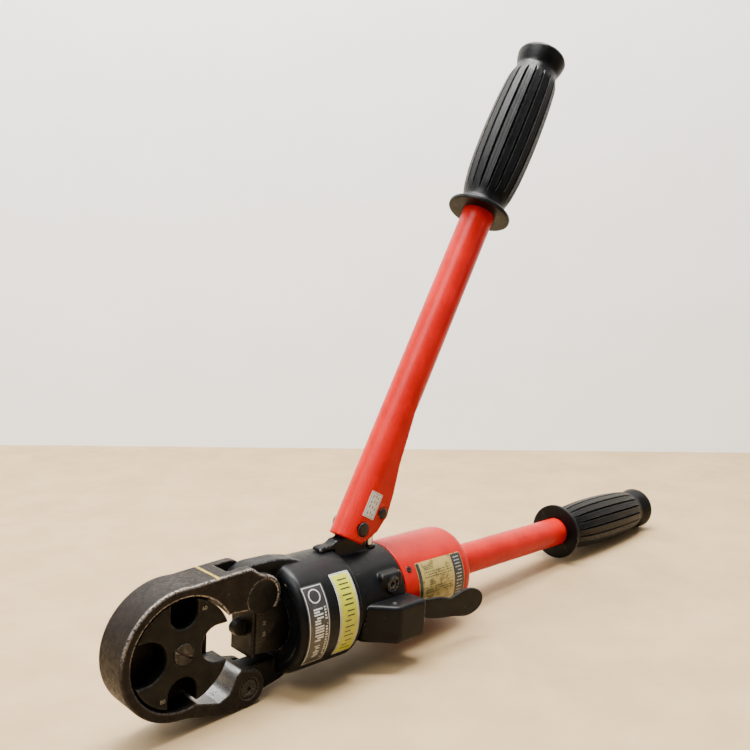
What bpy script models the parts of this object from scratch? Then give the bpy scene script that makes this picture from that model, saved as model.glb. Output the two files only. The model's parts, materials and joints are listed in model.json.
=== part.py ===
"""Hand-operated hydraulic crimping tool with a revolving four-groove die, resting on its side edge.

The tool is modelled in its own frame: X runs along the tool from the die to the rear grip, Y is the
die's axis, Z points to the movable handle's side, and the origin is the die's centre.  An empty
lays that frame down as the tool rests, on its lower yoke boss and on the rim of the rear grip's end.
"""
import math

import bmesh
import bpy
from mathutils import Vector

MM = 0.001
CLEARANCE = 0.3 * MM

# resting pose of the tool
REST_TILT = math.radians(3.307)

# yoke and revolving die
YOKE_RADIUS = 41.4 * MM
YOKE_HALF = 14.0 * MM
POCKET_RADIUS = 35.2 * MM
WEB_FRONT = 4.0 * MM
WEB_EDGE = 27.0 * MM
BAY_EDGE = 9.0 * MM
DIE_RADIUS = 33.6 * MM
DIE_FRONT = -13.0 * MM
DIE_BACK = WEB_FRONT - CLEARANCE
GROOVE_CENTRE = 24.8 * MM
GROOVE_RADII = {0: 12.0 * MM, 90: 9.1 * MM, 180: 13.4 * MM, 270: 9.8 * MM}
PIVOT_RADIUS = 6.7 * MM
DETENT = Vector((-14.1, 0.0, 14.1)) * MM
TONGUE_HALF = 7.0 * MM
SLOT_HALF = TONGUE_HALF + CLEARANCE
CHEEK = Vector((57.0, 0.0, 22.4)) * MM
CHEEK_RADIUS = 14.6 * MM
CAP_RADIUS = 11.2 * MM
CAP_THICKNESS = 1.4 * MM
UPPER_PIN = Vector((56.0, 0.0, 27.4)) * MM
UPPER_PIN_RADIUS = 5.0 * MM
LOWER_PIN = Vector((48.2, 0.0, -36.6)) * MM
LOWER_PIN_RADIUS = 6.5 * MM
LOWER_BOSS_RADIUS = 12.5 * MM

# cylinder and ram
CYLINDER_RADIUS = 38.0 * MM
CYLINDER_FRONT = 72.8 * MM
SHOULDER_RADIUS = 6.5 * MM
CYLINDER_REAR = 124.0 * MM
BORE_REAR = 116.5 * MM
RAM_RADIUS = 20.0 * MM
PASSAGE_RADIUS = 20.5 * MM
RAM_FRONT = 53.5 * MM
RAM_REAR = 115.5 * MM
RAM_FLAT_HALF = 12.0 * MM
RAM_FLAT_END = 83.0 * MM
RAM_BORE_RADIUS = 10.5 * MM
RAM_SEAL = (88.0 * MM, 92.0 * MM)
PUNCH_TIP = 42.7 * MM
PUNCH_NOSE_RADIUS = 4.7 * MM
PUNCH_NOSE_HALF = 3.8 * MM
PUNCH_BASE = (50.8 * MM, 53.2 * MM)
PUNCH_SCREW_RADIUS = 2.4 * MM

# pump body and plunger
PUMP_RADIUS = 33.0 * MM
PUMP_FRONT = CYLINDER_REAR + CLEARANCE
PUMP_REAR = 171.3 * MM
PLUNGER_X = 162.0 * MM
PLUNGER_RADIUS = 3.5 * MM
PLUNGER_REST_FOOT = 20.0 * MM
PLUNGER_BORE_FOOT = 0.0 * MM
PIVOT = Vector((143.9, 0.0, 51.3)) * MM
PLUNGER_PIN = Vector((162.6, 0.0, 60.3)) * MM
PIVOT_PIN_RADIUS = 4.0 * MM
PLUNGER_PIN_RADIUS = 3.0 * MM
BRACKET_HALF = 4.8 * MM
PLUNGER_EYE_X = 163.7 * MM
GLAND_SEAT_RADIUS = 5.3 * MM

# movable handle
HANDLE_ANGLE = math.radians(62.4)
MOVABLE_FLANGE = 261.9 * MM
HEEL_END = -10.0 * MM
SLOT_END = 104.0 * MM
CHANNEL_WALL = 3.0 * MM

# tubes and grips
TUBE_RADIUS = 12.7 * MM
TUBE_WALL = 2.0 * MM
CHANNEL_INNER = TUBE_RADIUS - CHANNEL_WALL
GRIP_FLANGE_RADIUS = 25.1 * MM
GRIP_LENGTH = 152.4 * MM
FIXED_FLANGE = 409.6 * MM
GRIP_BORE = TUBE_RADIUS + CLEARANCE
TUBE_IN_GRIP = 140.0 * MM

# reservoir
RESERVOIR_FRONT = PUMP_REAR + CLEARANCE
RESERVOIR_RADIUS = 33.0 * MM
RESERVOIR_SHOULDER = 239.0 * MM
RESERVOIR_REAR = 254.0 * MM
RESERVOIR_WALL = 3.0 * MM
SPIGOT_RADIUS = RESERVOIR_RADIUS - RESERVOIR_WALL - CLEARANCE
SPIGOT_END = 184.0 * MM

SET_SCREW_X = 179.0 * MM
SET_SCREW_ANGLE = math.radians(55.0)

# release valve
GUARD_FRONT = -50.0 * MM
GUARD_X = (128.5 * MM, 175.0 * MM)
GUARD_HOLLOW_X = 146.5 * MM
GUARD_SLOPE = math.radians(45.0)
GUARD_Z = (-22.0 * MM, 5.0 * MM)
LEVER_PIVOT = Vector((150.0, -42.0, -2.4)) * MM
LEVER_PIN_RADIUS = 1.5 * MM
LEVER_LEAN = math.radians(5.6)
VALVE_PLACE = Vector((164.0, 0.0, -3.0)) * MM

AXIS_X = (0.0, math.pi / 2, 0.0)
AXIS_Y = (-math.pi / 2, 0.0, 0.0)
AXIS_Z = (0.0, 0.0, 0.0)
FLAT_XZ = (math.pi / 2, 0.0, 0.0)


def clear_scene():
    for item in list(bpy.data.objects):
        bpy.data.objects.remove(item, do_unlink=True)


def new_collection(name):
    collection = bpy.data.collections.new(name)
    bpy.context.scene.collection.children.link(collection)
    return collection


clear_scene()
PARTS = new_collection("hydraulic_crimping_tool")
CUTTERS = new_collection("cutters")


def material(name, colour, roughness, metallic=0.0):
    made = bpy.data.materials.new(name)
    made.use_nodes = True
    shader = made.node_tree.nodes["Principled BSDF"]
    shader.inputs["Base Color"].default_value = (*colour, 1.0)
    shader.inputs["Roughness"].default_value = roughness
    shader.inputs["Metallic"].default_value = metallic
    made.diffuse_color = (*colour, 1.0)
    return made


CAST_STEEL = material("dark_cast_steel", (0.035, 0.030, 0.028), 0.45, 0.9)
DIE_STEEL = material("die_steel", (0.11, 0.10, 0.095), 0.35, 1.0)
BRIGHT_STEEL = material("bright_steel", (0.60, 0.60, 0.60), 0.25, 1.0)
PIN_STEEL = material("pin_steel", (0.16, 0.15, 0.15), 0.40, 1.0)
BLACK_PAINT = material("black_paint", (0.020, 0.021, 0.024), 0.40)
RED_PAINT = material("red_paint", (0.62, 0.045, 0.015), 0.38)
RUBBER = material("black_rubber", (0.018, 0.018, 0.018), 0.60)
SEAL_RUBBER = material("seal_rubber", (0.012, 0.012, 0.012), 0.55)
BRASS = material("valve_brass", (0.55, 0.38, 0.13), 0.35, 1.0)
YELLOW_LABEL = material("yellow_label", (0.85, 0.66, 0.05), 0.50)
BLACK_LABEL = material("black_label", (0.02, 0.02, 0.02), 0.45)
PLATE_METAL = material("plate_metal", (0.50, 0.37, 0.16), 0.45, 0.8)
WHITE_LABEL = material("white_label", (0.75, 0.75, 0.72), 0.50)


def make_frame(name, location, rotation, parent=None):
    frame = bpy.data.objects.new(name, None)
    frame.location = location
    frame.rotation_euler = rotation
    frame.parent = parent
    PARTS.objects.link(frame)
    return frame


TOOL = make_frame("tool_frame", (0.0, 0.0, 0.0), (0.0, REST_TILT, 0.0))
HANDLE_SWING = make_frame("handle_frame", PIVOT, (0.0, -HANDLE_ANGLE, 0.0), TOOL)


def place(obj, location, rotation, surface, parent):
    obj.location = location
    obj.rotation_euler = rotation
    obj.parent = parent
    if surface is None:
        CUTTERS.objects.link(obj)
        obj.hide_render = True
        obj.display_type = "WIRE"
    else:
        PARTS.objects.link(obj)
        obj.data.materials.append(surface)
    return obj


def mesh_object(name, fill, location, rotation, surface, parent):
    """A new object whose mesh is filled in by one bmesh function."""
    mesh = bpy.data.meshes.new(name)
    work = bmesh.new()
    fill(work)
    work.to_mesh(mesh)
    work.free()
    return place(bpy.data.objects.new(name, mesh), location, rotation, surface, parent)


def rod(name, radius, length, centre, rotation, surface, sides=24, parent=TOOL, tip_radius=None):
    """A solid cylinder, or a cone where its far end has another radius."""
    def fill(work):
        far = radius if tip_radius is None else tip_radius
        bmesh.ops.create_cone(work, cap_ends=True, segments=sides, radius1=radius, radius2=far, depth=length)
    return mesh_object(name, fill, centre, rotation, surface, parent)


def box(name, low, high, surface, parent=TOOL):
    low = Vector(low)
    high = Vector(high)

    def fill(work):
        bmesh.ops.create_cube(work, size=1.0)
        bmesh.ops.scale(work, vec=high - low, verts=work.verts)
    return mesh_object(name, fill, (low + high) / 2, AXIS_Z, surface, parent)


def ball(name, radius, centre, surface, parent=TOOL):
    def fill(work):
        bmesh.ops.create_uvsphere(work, u_segments=12, v_segments=8, radius=radius)
    return mesh_object(name, fill, centre, AXIS_Z, surface, parent)


def turned(name, profile, surface, origin=(0, 0, 0), rotation=AXIS_X, steps=40, parent=TOOL):
    """A solid of revolution; the profile lists (height along the axis, radius) from top to bottom.

    A profile that starts and ends on the axis is a solid, and any other is closed into a ring.
    """
    mesh = bpy.data.meshes.new(name)
    count = len(profile)
    edges = [(index, index + 1) for index in range(count - 1)]
    if profile[0][1] > 0.0:
        edges.append((count - 1, 0))
    mesh.from_pydata([(radius, 0.0, height) for height, radius in profile], edges, [])
    obj = place(bpy.data.objects.new(name, mesh), origin, rotation, surface, parent)
    screw = obj.modifiers.new("turn", "SCREW")
    screw.axis = "Z"
    screw.steps = steps
    screw.render_steps = steps
    screw.use_merge_vertices = True
    screw.merge_threshold = 0.00001
    screw.use_smooth_shade = True
    return obj


def ring(name, inner, outer, start, end, surface, origin=(0, 0, 0), rotation=AXIS_X, steps=32, parent=TOOL):
    profile = [(end, inner), (end, outer), (start, outer), (start, inner)]
    return turned(name, profile, surface, origin, rotation, steps, parent)


def plate(name, outline, half, surface, parent=TOOL, centre_y=0.0):
    """A flat outline in the XZ plane, extruded to both sides of it, made into a mesh."""
    curve = bpy.data.curves.new(name, "CURVE")
    curve.dimensions = "2D"
    curve.fill_mode = "BOTH"
    curve.extrude = half
    spline = curve.splines.new("POLY")
    spline.points.add(len(outline) - 1)
    for point, (x, z) in zip(spline.points, outline):
        point.co = (x, z, 0.0, 1.0)
    spline.use_cyclic_u = True
    guide = bpy.data.objects.new(name + "_outline", curve)
    bpy.context.scene.collection.objects.link(guide)
    bpy.context.view_layer.update()
    mesh = bpy.data.meshes.new_from_object(guide.evaluated_get(bpy.context.evaluated_depsgraph_get()))
    bpy.data.objects.remove(guide, do_unlink=True)
    work = bmesh.new()
    work.from_mesh(mesh)
    bmesh.ops.remove_doubles(work, verts=work.verts, dist=0.000001)
    bmesh.ops.recalc_face_normals(work, faces=work.faces)
    work.to_mesh(mesh)
    work.free()
    mesh.materials.clear()
    mesh.name = name
    return place(bpy.data.objects.new(name, mesh), (0.0, centre_y, 0.0), FLAT_XZ, surface, parent)


def arc(centre, radius, start, end, count):
    """Points of an arc in degrees, from its start to its end."""
    points = []
    for step in range(count + 1):
        angle = math.radians(start + (end - start) * step / count)
        points.append((centre[0] + radius * math.cos(angle), centre[1] + radius * math.sin(angle)))
    return points


def flat(vector):
    return (vector.x, vector.z)


def millimetres(*pairs):
    return [(x * MM, z * MM) for x, z in pairs]


def combine(obj, other, operation):
    boolean = obj.modifiers.new(other.name, "BOOLEAN")
    boolean.operation = operation
    boolean.object = other
    boolean.solver = "EXACT"


def cut(obj, *tools):
    for tool in tools:
        combine(obj, tool, "DIFFERENCE")


def fuse(obj, *tools):
    for tool in tools:
        combine(obj, tool, "UNION")


def soften(obj, width, segments=2, angle=40.0):
    bevel = obj.modifiers.new("edges", "BEVEL")
    bevel.width = width
    bevel.segments = segments
    bevel.limit_method = "ANGLE"
    bevel.angle_limit = math.radians(angle)


def hole_y(name, centre, radius, low, high, sides=24, parent=TOOL):
    """A round cutter along Y between two heights."""
    middle = Vector((centre.x, (low + high) / 2, centre.z))
    return rod(name, radius, high - low, middle, AXIS_Y, None, sides, parent)


def build_yoke():
    top_edge = millimetres((10, 41.8), (30, 42.8), (46, 43.6), (50, 42.2), (54, 38.6))
    cheek_end = arc(flat(CHEEK), CHEEK_RADIUS, 84, -40, 12)
    throat_side = millimetres((40, 12), (40, -22))
    boss = arc(flat(LOWER_PIN), LOWER_BOSS_RADIUS, 70, -120, 12)
    belly = millimetres((38, -49.4), (14, -44.7))
    nose = arc((0.0, 0.0), YOKE_RADIUS, 268, 86, 28)
    outline = top_edge + cheek_end + throat_side + boss + belly + nose
    yoke = plate("yoke", outline, YOKE_HALF, CAST_STEEL)
    soften(yoke, 1.2 * MM, 1)
    pocket = hole_y("pocket_cutter", Vector((0, 0, 0)), POCKET_RADIUS, -YOKE_HALF - MM, WEB_FRONT, 56)
    bay = millimetres((26, -39), (34, -35.5), (36.5, -29), (39, -24), (46, -21), (80, -21), (80, 12))
    lip = millimetres((53, 15.4), (33.8, 17.0), (31.2, 16.3))
    front_outline = [(BAY_EDGE, -34.0 * MM)] + bay + lip + [(20 * MM, 16.3 * MM)]
    front_bay = plate("front_bay_cutter", front_outline, 10 * MM, None, centre_y=WEB_FRONT - 10 * MM)
    web_outline = [(17.5 * MM, -36.0 * MM)] + bay + lip
    web_outline += [(WEB_EDGE, 22.4 * MM), (WEB_EDGE, -21.0 * MM), (20.0 * MM, -29.5 * MM)]
    throat = plate("throat_cutter", web_outline, YOKE_HALF + MM, None)
    passage = rod("yoke_passage_cutter", PASSAGE_RADIUS, 60 * MM, (58 * MM, 0, 0), AXIS_X, None, 40)
    beside = RAM_FLAT_HALF + CLEARANCE
    between = box("ram_room", (20 * MM, -beside, -30 * MM), (95 * MM, beside, 30 * MM), None)
    combine(passage, between, "INTERSECT")
    slot_outline = millimetres((32.5, 60), (32.5, 12), (80, 12), (80, 60))
    upper_slot = plate("upper_slot_cutter", slot_outline, SLOT_HALF, None)
    lower_outline = arc(flat(LOWER_PIN), 12.6 * MM, 90, 270, 12) + millimetres((80, -60), (80, -20))
    lower_slot = plate("lower_slot_cutter", lower_outline, SLOT_HALF, None)
    reach = YOKE_HALF + MM
    upper = hole_y("upper_pin_cutter", UPPER_PIN, UPPER_PIN_RADIUS + CLEARANCE, -reach, reach)
    lower = hole_y("lower_pin_cutter", LOWER_PIN, LOWER_PIN_RADIUS + CLEARANCE, -reach, reach)
    screw = hole_y("pivot_cutter", Vector((0, 0, 0)), 4.3 * MM, 0.0, reach)
    detent = hole_y("detent_cutter", DETENT, 2.3 * MM, WEB_FRONT - MM, 10.5 * MM, 16)
    cut(yoke, pocket, front_bay, throat, passage, upper_slot, lower_slot, upper, lower, screw, detent)
    depth = CAP_THICKNESS + CLEARANCE
    for side in (-1, 1):
        inner, outer = sorted((side * (YOKE_HALF - depth), side * reach))
        cut(yoke, hole_y(f"cap_seat_{side + 1}_cutter", CHEEK, CAP_RADIUS + CLEARANCE, inner, outer, 32))


def build_die():
    profile = [
        (DIE_BACK, PIVOT_RADIUS + CLEARANCE),
        (DIE_BACK, DIE_RADIUS - 0.6 * MM),
        (DIE_BACK - 0.6 * MM, DIE_RADIUS),
        (DIE_FRONT + 0.6 * MM, DIE_RADIUS),
        (DIE_FRONT, DIE_RADIUS - 0.6 * MM),
        (DIE_FRONT, PIVOT_RADIUS + CLEARANCE),
    ]
    die = turned("female_die_disc", profile, DIE_STEEL, rotation=AXIS_Y, steps=56)
    for angle, radius in GROOVE_RADII.items():
        turn = math.radians(angle)
        across = Vector((math.cos(turn), 0.0, math.sin(turn)))
        outline = arc((0.0, 0.0), radius, 90, 270, 16) + [(20 * MM, -radius), (20 * MM, radius)]
        groove = plate(f"groove_{angle}_cutter", outline, 20 * MM, None)
        groove.location = across * GROOVE_CENTRE
        groove.rotation_euler = (math.pi / 2, -turn, 0.0)
        cut(die, groove)


def build_die_pivot():
    head = [
        (DIE_FRONT - 0.6 * MM, 0.0),
        (DIE_FRONT - 0.6 * MM, 5.9 * MM),
        (DIE_FRONT + 0.2 * MM, PIVOT_RADIUS),
        (DIE_BACK, PIVOT_RADIUS),
        (DIE_BACK, 4.0 * MM),
        (YOKE_HALF - 0.4 * MM, 4.0 * MM),
        (YOKE_HALF - 0.4 * MM, 0.0),
    ]
    pivot = turned("die_pivot_screw", head[::-1], BRIGHT_STEEL, rotation=AXIS_Y, steps=32)
    slot = box("screw_slot_cutter", (-8 * MM, -20 * MM, -0.8 * MM), (8 * MM, -11.6 * MM, 0.8 * MM), None)
    slot.rotation_euler = (0.0, math.radians(-35), 0.0)
    cut(pivot, slot)


def build_detent():
    ball("die_detent_ball", 2.0 * MM, DETENT + Vector((0, WEB_FRONT + 2.1 * MM, 0)), BRIGHT_STEEL)
    profile = [
        (10.0 * MM, 0.0),
        (10.0 * MM, 1.9 * MM),
        (WEB_FRONT + 4.6 * MM, 1.9 * MM),
        (WEB_FRONT + 4.6 * MM, 0.0),
    ]
    turned("die_detent_plug", profile, PIN_STEEL, DETENT, AXIS_Y, 16)


def coil_points(radius, start, end, turns, steps=8):
    """Points (across, across, along) of a coil spring's wire."""
    points = []
    for step in range(turns * steps + 1):
        angle = 2 * math.pi * step / steps
        along = start + (end - start) * step / (turns * steps)
        points.append((radius * math.cos(angle), radius * math.sin(angle), along))
    return points


def wire(name, points, radius, surface, parent=TOOL):
    curve = bpy.data.curves.new(name, "CURVE")
    curve.dimensions = "3D"
    curve.bevel_depth = radius
    curve.bevel_resolution = 1
    curve.use_fill_caps = True
    spline = curve.splines.new("POLY")
    spline.points.add(len(points) - 1)
    for point, place_of_point in zip(spline.points, points):
        point.co = (*place_of_point, 1.0)
    return place(bpy.data.objects.new(name, curve), (0, 0, 0), AXIS_Z, surface, parent)


def build_pins():
    chamfer = 0.6 * MM
    upper_length = 2 * (YOKE_HALF - CAP_THICKNESS - 3 * CLEARANCE)
    pins = {
        "yoke_upper_pin": (UPPER_PIN, UPPER_PIN_RADIUS, upper_length),
        "yoke_lower_pin": (LOWER_PIN, LOWER_PIN_RADIUS, 2 * (YOKE_HALF - 0.2 * MM)),
    }
    for name, (centre, radius, length) in pins.items():
        profile = [
            (length / 2, 0.0),
            (length / 2, radius - chamfer),
            (length / 2 - chamfer, radius),
            (chamfer - length / 2, radius),
            (-length / 2, radius - chamfer),
            (-length / 2, 0.0),
        ]
        turned(name, profile, PIN_STEEL, centre, AXIS_Y, 24)
    for side, name in ((-1, "front_pin_cap"), (1, "rear_pin_cap")):
        height = side * (YOKE_HALF - CAP_THICKNESS / 2)
        rod(name, CAP_RADIUS, CAP_THICKNESS, (CHEEK.x, height, CHEEK.z), AXIS_Y, CAST_STEEL, 32)


def build_cylinder():
    shoulder = SHOULDER_RADIUS
    centre = (CYLINDER_FRONT + shoulder, CYLINDER_RADIUS - shoulder)
    profile = [
        (CYLINDER_REAR, 0.0),
        (CYLINDER_REAR, CYLINDER_RADIUS - 2 * MM),
        (CYLINDER_REAR - 2 * MM, CYLINDER_RADIUS),
    ]
    profile += arc(centre, shoulder, 90, 180, 5)
    profile += [(CYLINDER_FRONT, 0.0)]
    body = turned("cylinder_body", profile, BLACK_PAINT, steps=56)
    upper_outline = (
        millimetres((95, 24), (95, 36.5), (86, 39.8), (74, 42.2))
        + arc((55.0 * MM, 25.0 * MM), 17.6 * MM, 90, 230, 12)
        + millimetres((75, 12))
    )
    upper = plate("upper_tongue", upper_outline, TONGUE_HALF, None)
    lower_outline = (
        arc(flat(LOWER_PIN), 11.6 * MM, 80, 275, 14)
        + millimetres((78, -42.0), (92, -36.5), (92, -25), (76, -25))
    )
    lower = plate("lower_tongue", lower_outline, TONGUE_HALF, None)
    fuse(body, upper, lower)
    passage = rod("cylinder_passage_cutter", PASSAGE_RADIUS, 46 * MM, (53 * MM, 0, 0), AXIS_X, None, 40)
    bore_length = BORE_REAR - 70 * MM
    bore_centre = (BORE_REAR - bore_length / 2, 0, 0)
    bore = rod("cylinder_bore_cutter", RAM_RADIUS + CLEARANCE, bore_length, bore_centre, AXIS_X, None, 40)
    groove = ring("ram_seal_groove_cutter", RAM_RADIUS, 22.6 * MM, *RAM_SEAL, None, steps=40)
    reach = TONGUE_HALF + MM
    upper_pin = hole_y("tongue_upper_cutter", UPPER_PIN, UPPER_PIN_RADIUS + CLEARANCE, -reach, reach)
    lower_pin = hole_y("tongue_lower_cutter", LOWER_PIN, LOWER_PIN_RADIUS + CLEARANCE, -reach, reach)
    rod_hole = rod("stay_rod_cutter", 3.3 * MM, 12 * MM, (120 * MM, 0, 0), AXIS_X, None, 20)
    cut(body, passage, bore, groove, upper_pin, lower_pin, rod_hole)
    seal_start, seal_end = RAM_SEAL[0] + CLEARANCE, RAM_SEAL[1] - CLEARANCE
    ring("ram_seal", RAM_RADIUS + CLEARANCE, 22.3 * MM, seal_start, seal_end, SEAL_RUBBER, steps=40)


def build_ram():
    profile = [
        (RAM_REAR, 0.0),
        (RAM_REAR, RAM_RADIUS),
        (RAM_FRONT + 1.5 * MM, RAM_RADIUS),
        (RAM_FRONT, RAM_RADIUS - 1.5 * MM),
        (RAM_FRONT, 0.0),
    ]
    ram = turned("ram", profile, DIE_STEEL, steps=40)
    bore_length = RAM_REAR + 2 * MM - 66 * MM
    bore_centre = (66 * MM + bore_length / 2, 0, 0)
    bore = rod("ram_bore_cutter", RAM_BORE_RADIUS, bore_length, bore_centre, AXIS_X, None, 28)
    cut(ram, bore)
    for side in (-1, 1):
        low = Vector((RAM_FRONT - MM, min(side * RAM_FLAT_HALF, side * 25 * MM), -25 * MM))
        high = Vector((RAM_FLAT_END, max(side * RAM_FLAT_HALF, side * 25 * MM), 25 * MM))
        cut(ram, box(f"ram_flat_{side + 1}_cutter", low, high, None))
    tapped = rod("punch_screw_cutter", PUNCH_SCREW_RADIUS + CLEARANCE, 16 * MM, (58 * MM, 0, 0), AXIS_X, None, 20)
    cut(ram, tapped)
    ring("spring_seat_ring", 3.4 * MM, 10.2 * MM, 110 * MM, 113 * MM, PIN_STEEL, steps=28)


def build_punch():
    tip = arc((PUNCH_TIP + PUNCH_NOSE_RADIUS, 0.0), PUNCH_NOSE_RADIUS, 100, 260, 10)
    lower = millimetres((49.4, -5.1), (52.0, -6.4))
    upper = [(x, -z) for x, z in lower[::-1]]
    punch = plate("punch", tip + lower + upper, PUNCH_NOSE_HALF, DIE_STEEL)
    base = box("punch_base", (PUNCH_BASE[0], -11.9 * MM, -18.5 * MM), (PUNCH_BASE[1], 11.9 * MM, 15.0 * MM), None)
    fuse(punch, base)
    bore_radius = PUNCH_SCREW_RADIUS + CLEARANCE
    bore = rod("punch_bore_cutter", bore_radius, 6 * MM, (52 * MM, 0, 0), AXIS_X, None, 20)
    cut(punch, bore)
    rod("punch_screw", PUNCH_SCREW_RADIUS, 15 * MM, (57.2 * MM, 0, 0), AXIS_X, PIN_STEEL, 20)


def build_return_spring():
    profile = [
        (123.5 * MM, 0.0),
        (123.5 * MM, 3.0 * MM),
        (73.0 * MM, 3.0 * MM),
        (73.0 * MM, 6.0 * MM),
        (68.0 * MM, 6.0 * MM),
        (68.0 * MM, 0.0),
    ]
    turned("spring_stay_rod", profile, PIN_STEEL, steps=20)
    turns = coil_points(7.0 * MM, 74.5 * MM, 108.5 * MM, 7, 10)
    wire("ram_return_spring", [(along, x, z) for x, z, along in turns], 1.0 * MM, BRIGHT_STEEL)


def build_pump_body():
    profile = [
        (SPIGOT_END, 0.0),
        (SPIGOT_END, SPIGOT_RADIUS),
        (PUMP_REAR, SPIGOT_RADIUS),
        (PUMP_REAR, PUMP_RADIUS - 0.4 * MM),
        (PUMP_REAR - 0.4 * MM, PUMP_RADIUS),
        (PUMP_FRONT + 1 * MM, PUMP_RADIUS),
        (PUMP_FRONT, PUMP_RADIUS - 1 * MM),
        (PUMP_FRONT, 0.0),
    ]
    body = turned("pump_body", profile, BLACK_PAINT, steps=56)
    bracket_outline = (
        millimetres((124.6, 27), (124.6, 38.0), (112.5, 38.0), (111.5, 39.6), (112.2, 41.0), (116.0, 41.6))
        + arc((120.0 * MM, 50.0 * MM), 8.6 * MM, -100, -42, 5)
        + millimetres((131.5, 44.8))
        + arc(flat(PIVOT), 7.6 * MM, 190, -40, 12)
        + millimetres((151.0, 40), (153.0, 27))
    )
    bracket = plate("bracket_outline", bracket_outline, BRACKET_HALF, None)
    fuse(body, bracket)
    saddle = rod("saddle_cutter", CYLINDER_RADIUS + CLEARANCE, 24 * MM,
                 (PUMP_FRONT - 12 * MM, 0, 0), AXIS_X, None, 56)
    cut(body, saddle)
    foot = PLUNGER_BORE_FOOT
    bore = rod("pump_bore_cutter", PLUNGER_RADIUS + CLEARANCE, 50 * MM,
               (PLUNGER_X, 0, foot + 25 * MM), AXIS_Z, None, 24)
    seat = rod("gland_seat_cutter", GLAND_SEAT_RADIUS, 10 * MM, (PLUNGER_X, 0, 32.5 * MM), AXIS_Z, None, 24)
    reach = BRACKET_HALF + MM
    pin = hole_y("bracket_pin_cutter", PIVOT, PIVOT_PIN_RADIUS + CLEARANCE, -reach, reach, 20)
    suction = rod("suction_cutter", 2.6 * MM, 20 * MM, (178 * MM, 0, 8 * MM), AXIS_X, None, 16)
    delivery = rod("delivery_cutter", 2.6 * MM, 16 * MM, (130 * MM, 0, 8 * MM), AXIS_X, None, 16)
    relief = hole_y("relief_cutter", Vector((157 * MM, 0, 14 * MM)), 4.3 * MM, -40 * MM, -17 * MM, 20)
    valve = hole_y("valve_cutter", VALVE_PLACE, 2.8 * MM, -40 * MM, -7 * MM, 20)
    cut(body, bore, seat, pin, suction, delivery, relief, valve)


def build_plunger():
    blade = [
        (PLUNGER_REST_FOOT, 0.0),
        (PLUNGER_REST_FOOT, PLUNGER_RADIUS - 0.5 * MM),
        (PLUNGER_REST_FOOT + 0.5 * MM, PLUNGER_RADIUS),
        (56.0 * MM, PLUNGER_RADIUS),
        (56.0 * MM, 0.0),
    ]
    plunger = turned("plunger", blade[::-1], BRIGHT_STEEL, (PLUNGER_X, 0, 0), AXIS_Z, 24)
    eye_outline = (
        [(PLUNGER_X - 3.4 * MM, 54.4 * MM)]
        + arc((PLUNGER_EYE_X, PLUNGER_PIN.z), 6.4 * MM, 190, -10, 10)
        + [(PLUNGER_X + 3.4 * MM, 54.4 * MM)]
    )
    eye = plate("plunger_eye", eye_outline, 2.6 * MM, None)
    slot_half = 1.4 * MM
    slot_radius = PLUNGER_PIN_RADIUS + CLEARANCE
    slot_outline = (
        arc((PLUNGER_EYE_X + slot_half, PLUNGER_PIN.z), slot_radius, -90, 90, 8)
        + arc((PLUNGER_EYE_X - slot_half, PLUNGER_PIN.z), slot_radius, 90, 270, 8)
    )
    slot = plate("plunger_slot_cutter", slot_outline, 6 * MM, None)
    fuse(plunger, eye)
    cut(plunger, slot)
    gland = [
        (34.6 * MM, PLUNGER_RADIUS + CLEARANCE),
        (34.6 * MM, GLAND_SEAT_RADIUS - 0.7 * MM),
        (34.2 * MM, GLAND_SEAT_RADIUS - CLEARANCE),
        (30.6 * MM, GLAND_SEAT_RADIUS - CLEARANCE),
        (30.6 * MM, PLUNGER_RADIUS + CLEARANCE),
    ]
    turned("plunger_gland", gland, PIN_STEEL, (PLUNGER_X, 0, 0), AXIS_Z, 24)
    ring("plunger_seal", PLUNGER_RADIUS + CLEARANCE, GLAND_SEAT_RADIUS - CLEARANCE, 27.9 * MM, 30.3 * MM, SEAL_RUBBER,
         (PLUNGER_X, 0, 0), AXIS_Z, 24)


def build_valves():
    for name, x in (("suction", 171.0 * MM), ("delivery", 128.5 * MM)):
        ball(f"{name}_valve_ball", 2.1 * MM, (x, 0, 8 * MM), BRIGHT_STEEL)
    profile = [
        (-31.0 * MM, 0.0),
        (-31.0 * MM, 4.0 * MM),
        (-24.0 * MM, 4.0 * MM),
        (-24.0 * MM, 0.0),
    ]
    plug = turned("relief_plug", profile[::-1], PIN_STEEL, (157 * MM, 0, 14 * MM), AXIS_Y, 20)
    cut(plug, hole_y("relief_socket_cutter", Vector((157 * MM, 0, 14 * MM)), 2.0 * MM, -40 * MM, -28 * MM, 6))
    ball("relief_valve_ball", 2.1 * MM, (157 * MM, -21.5 * MM, 14 * MM), BRIGHT_STEEL)


def side_plate_outline():
    """Side outline of the handle's two rear plates: distance along the handle, and across it."""
    pin = flat(to_handle(PLUNGER_PIN))
    heel = millimetres((-10, 0.5), (-10, -1), (-9.5, -3.8), (-6.5, -8), (-2.6, -11.1), (3.5, -15.5))
    lobe = arc(pin, 6.6 * MM, 235, 290, 5)
    rear = millimetres((26, -17.5), (33, -16.5), (40, -14.9), (47, -13.0), (54, -11.1), (62, -10.0),
                       (77, -8.0), (92, -5.9), (104, -3.8), (112, -1.5), (112, 0.5))
    return heel + lobe + rear


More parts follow.
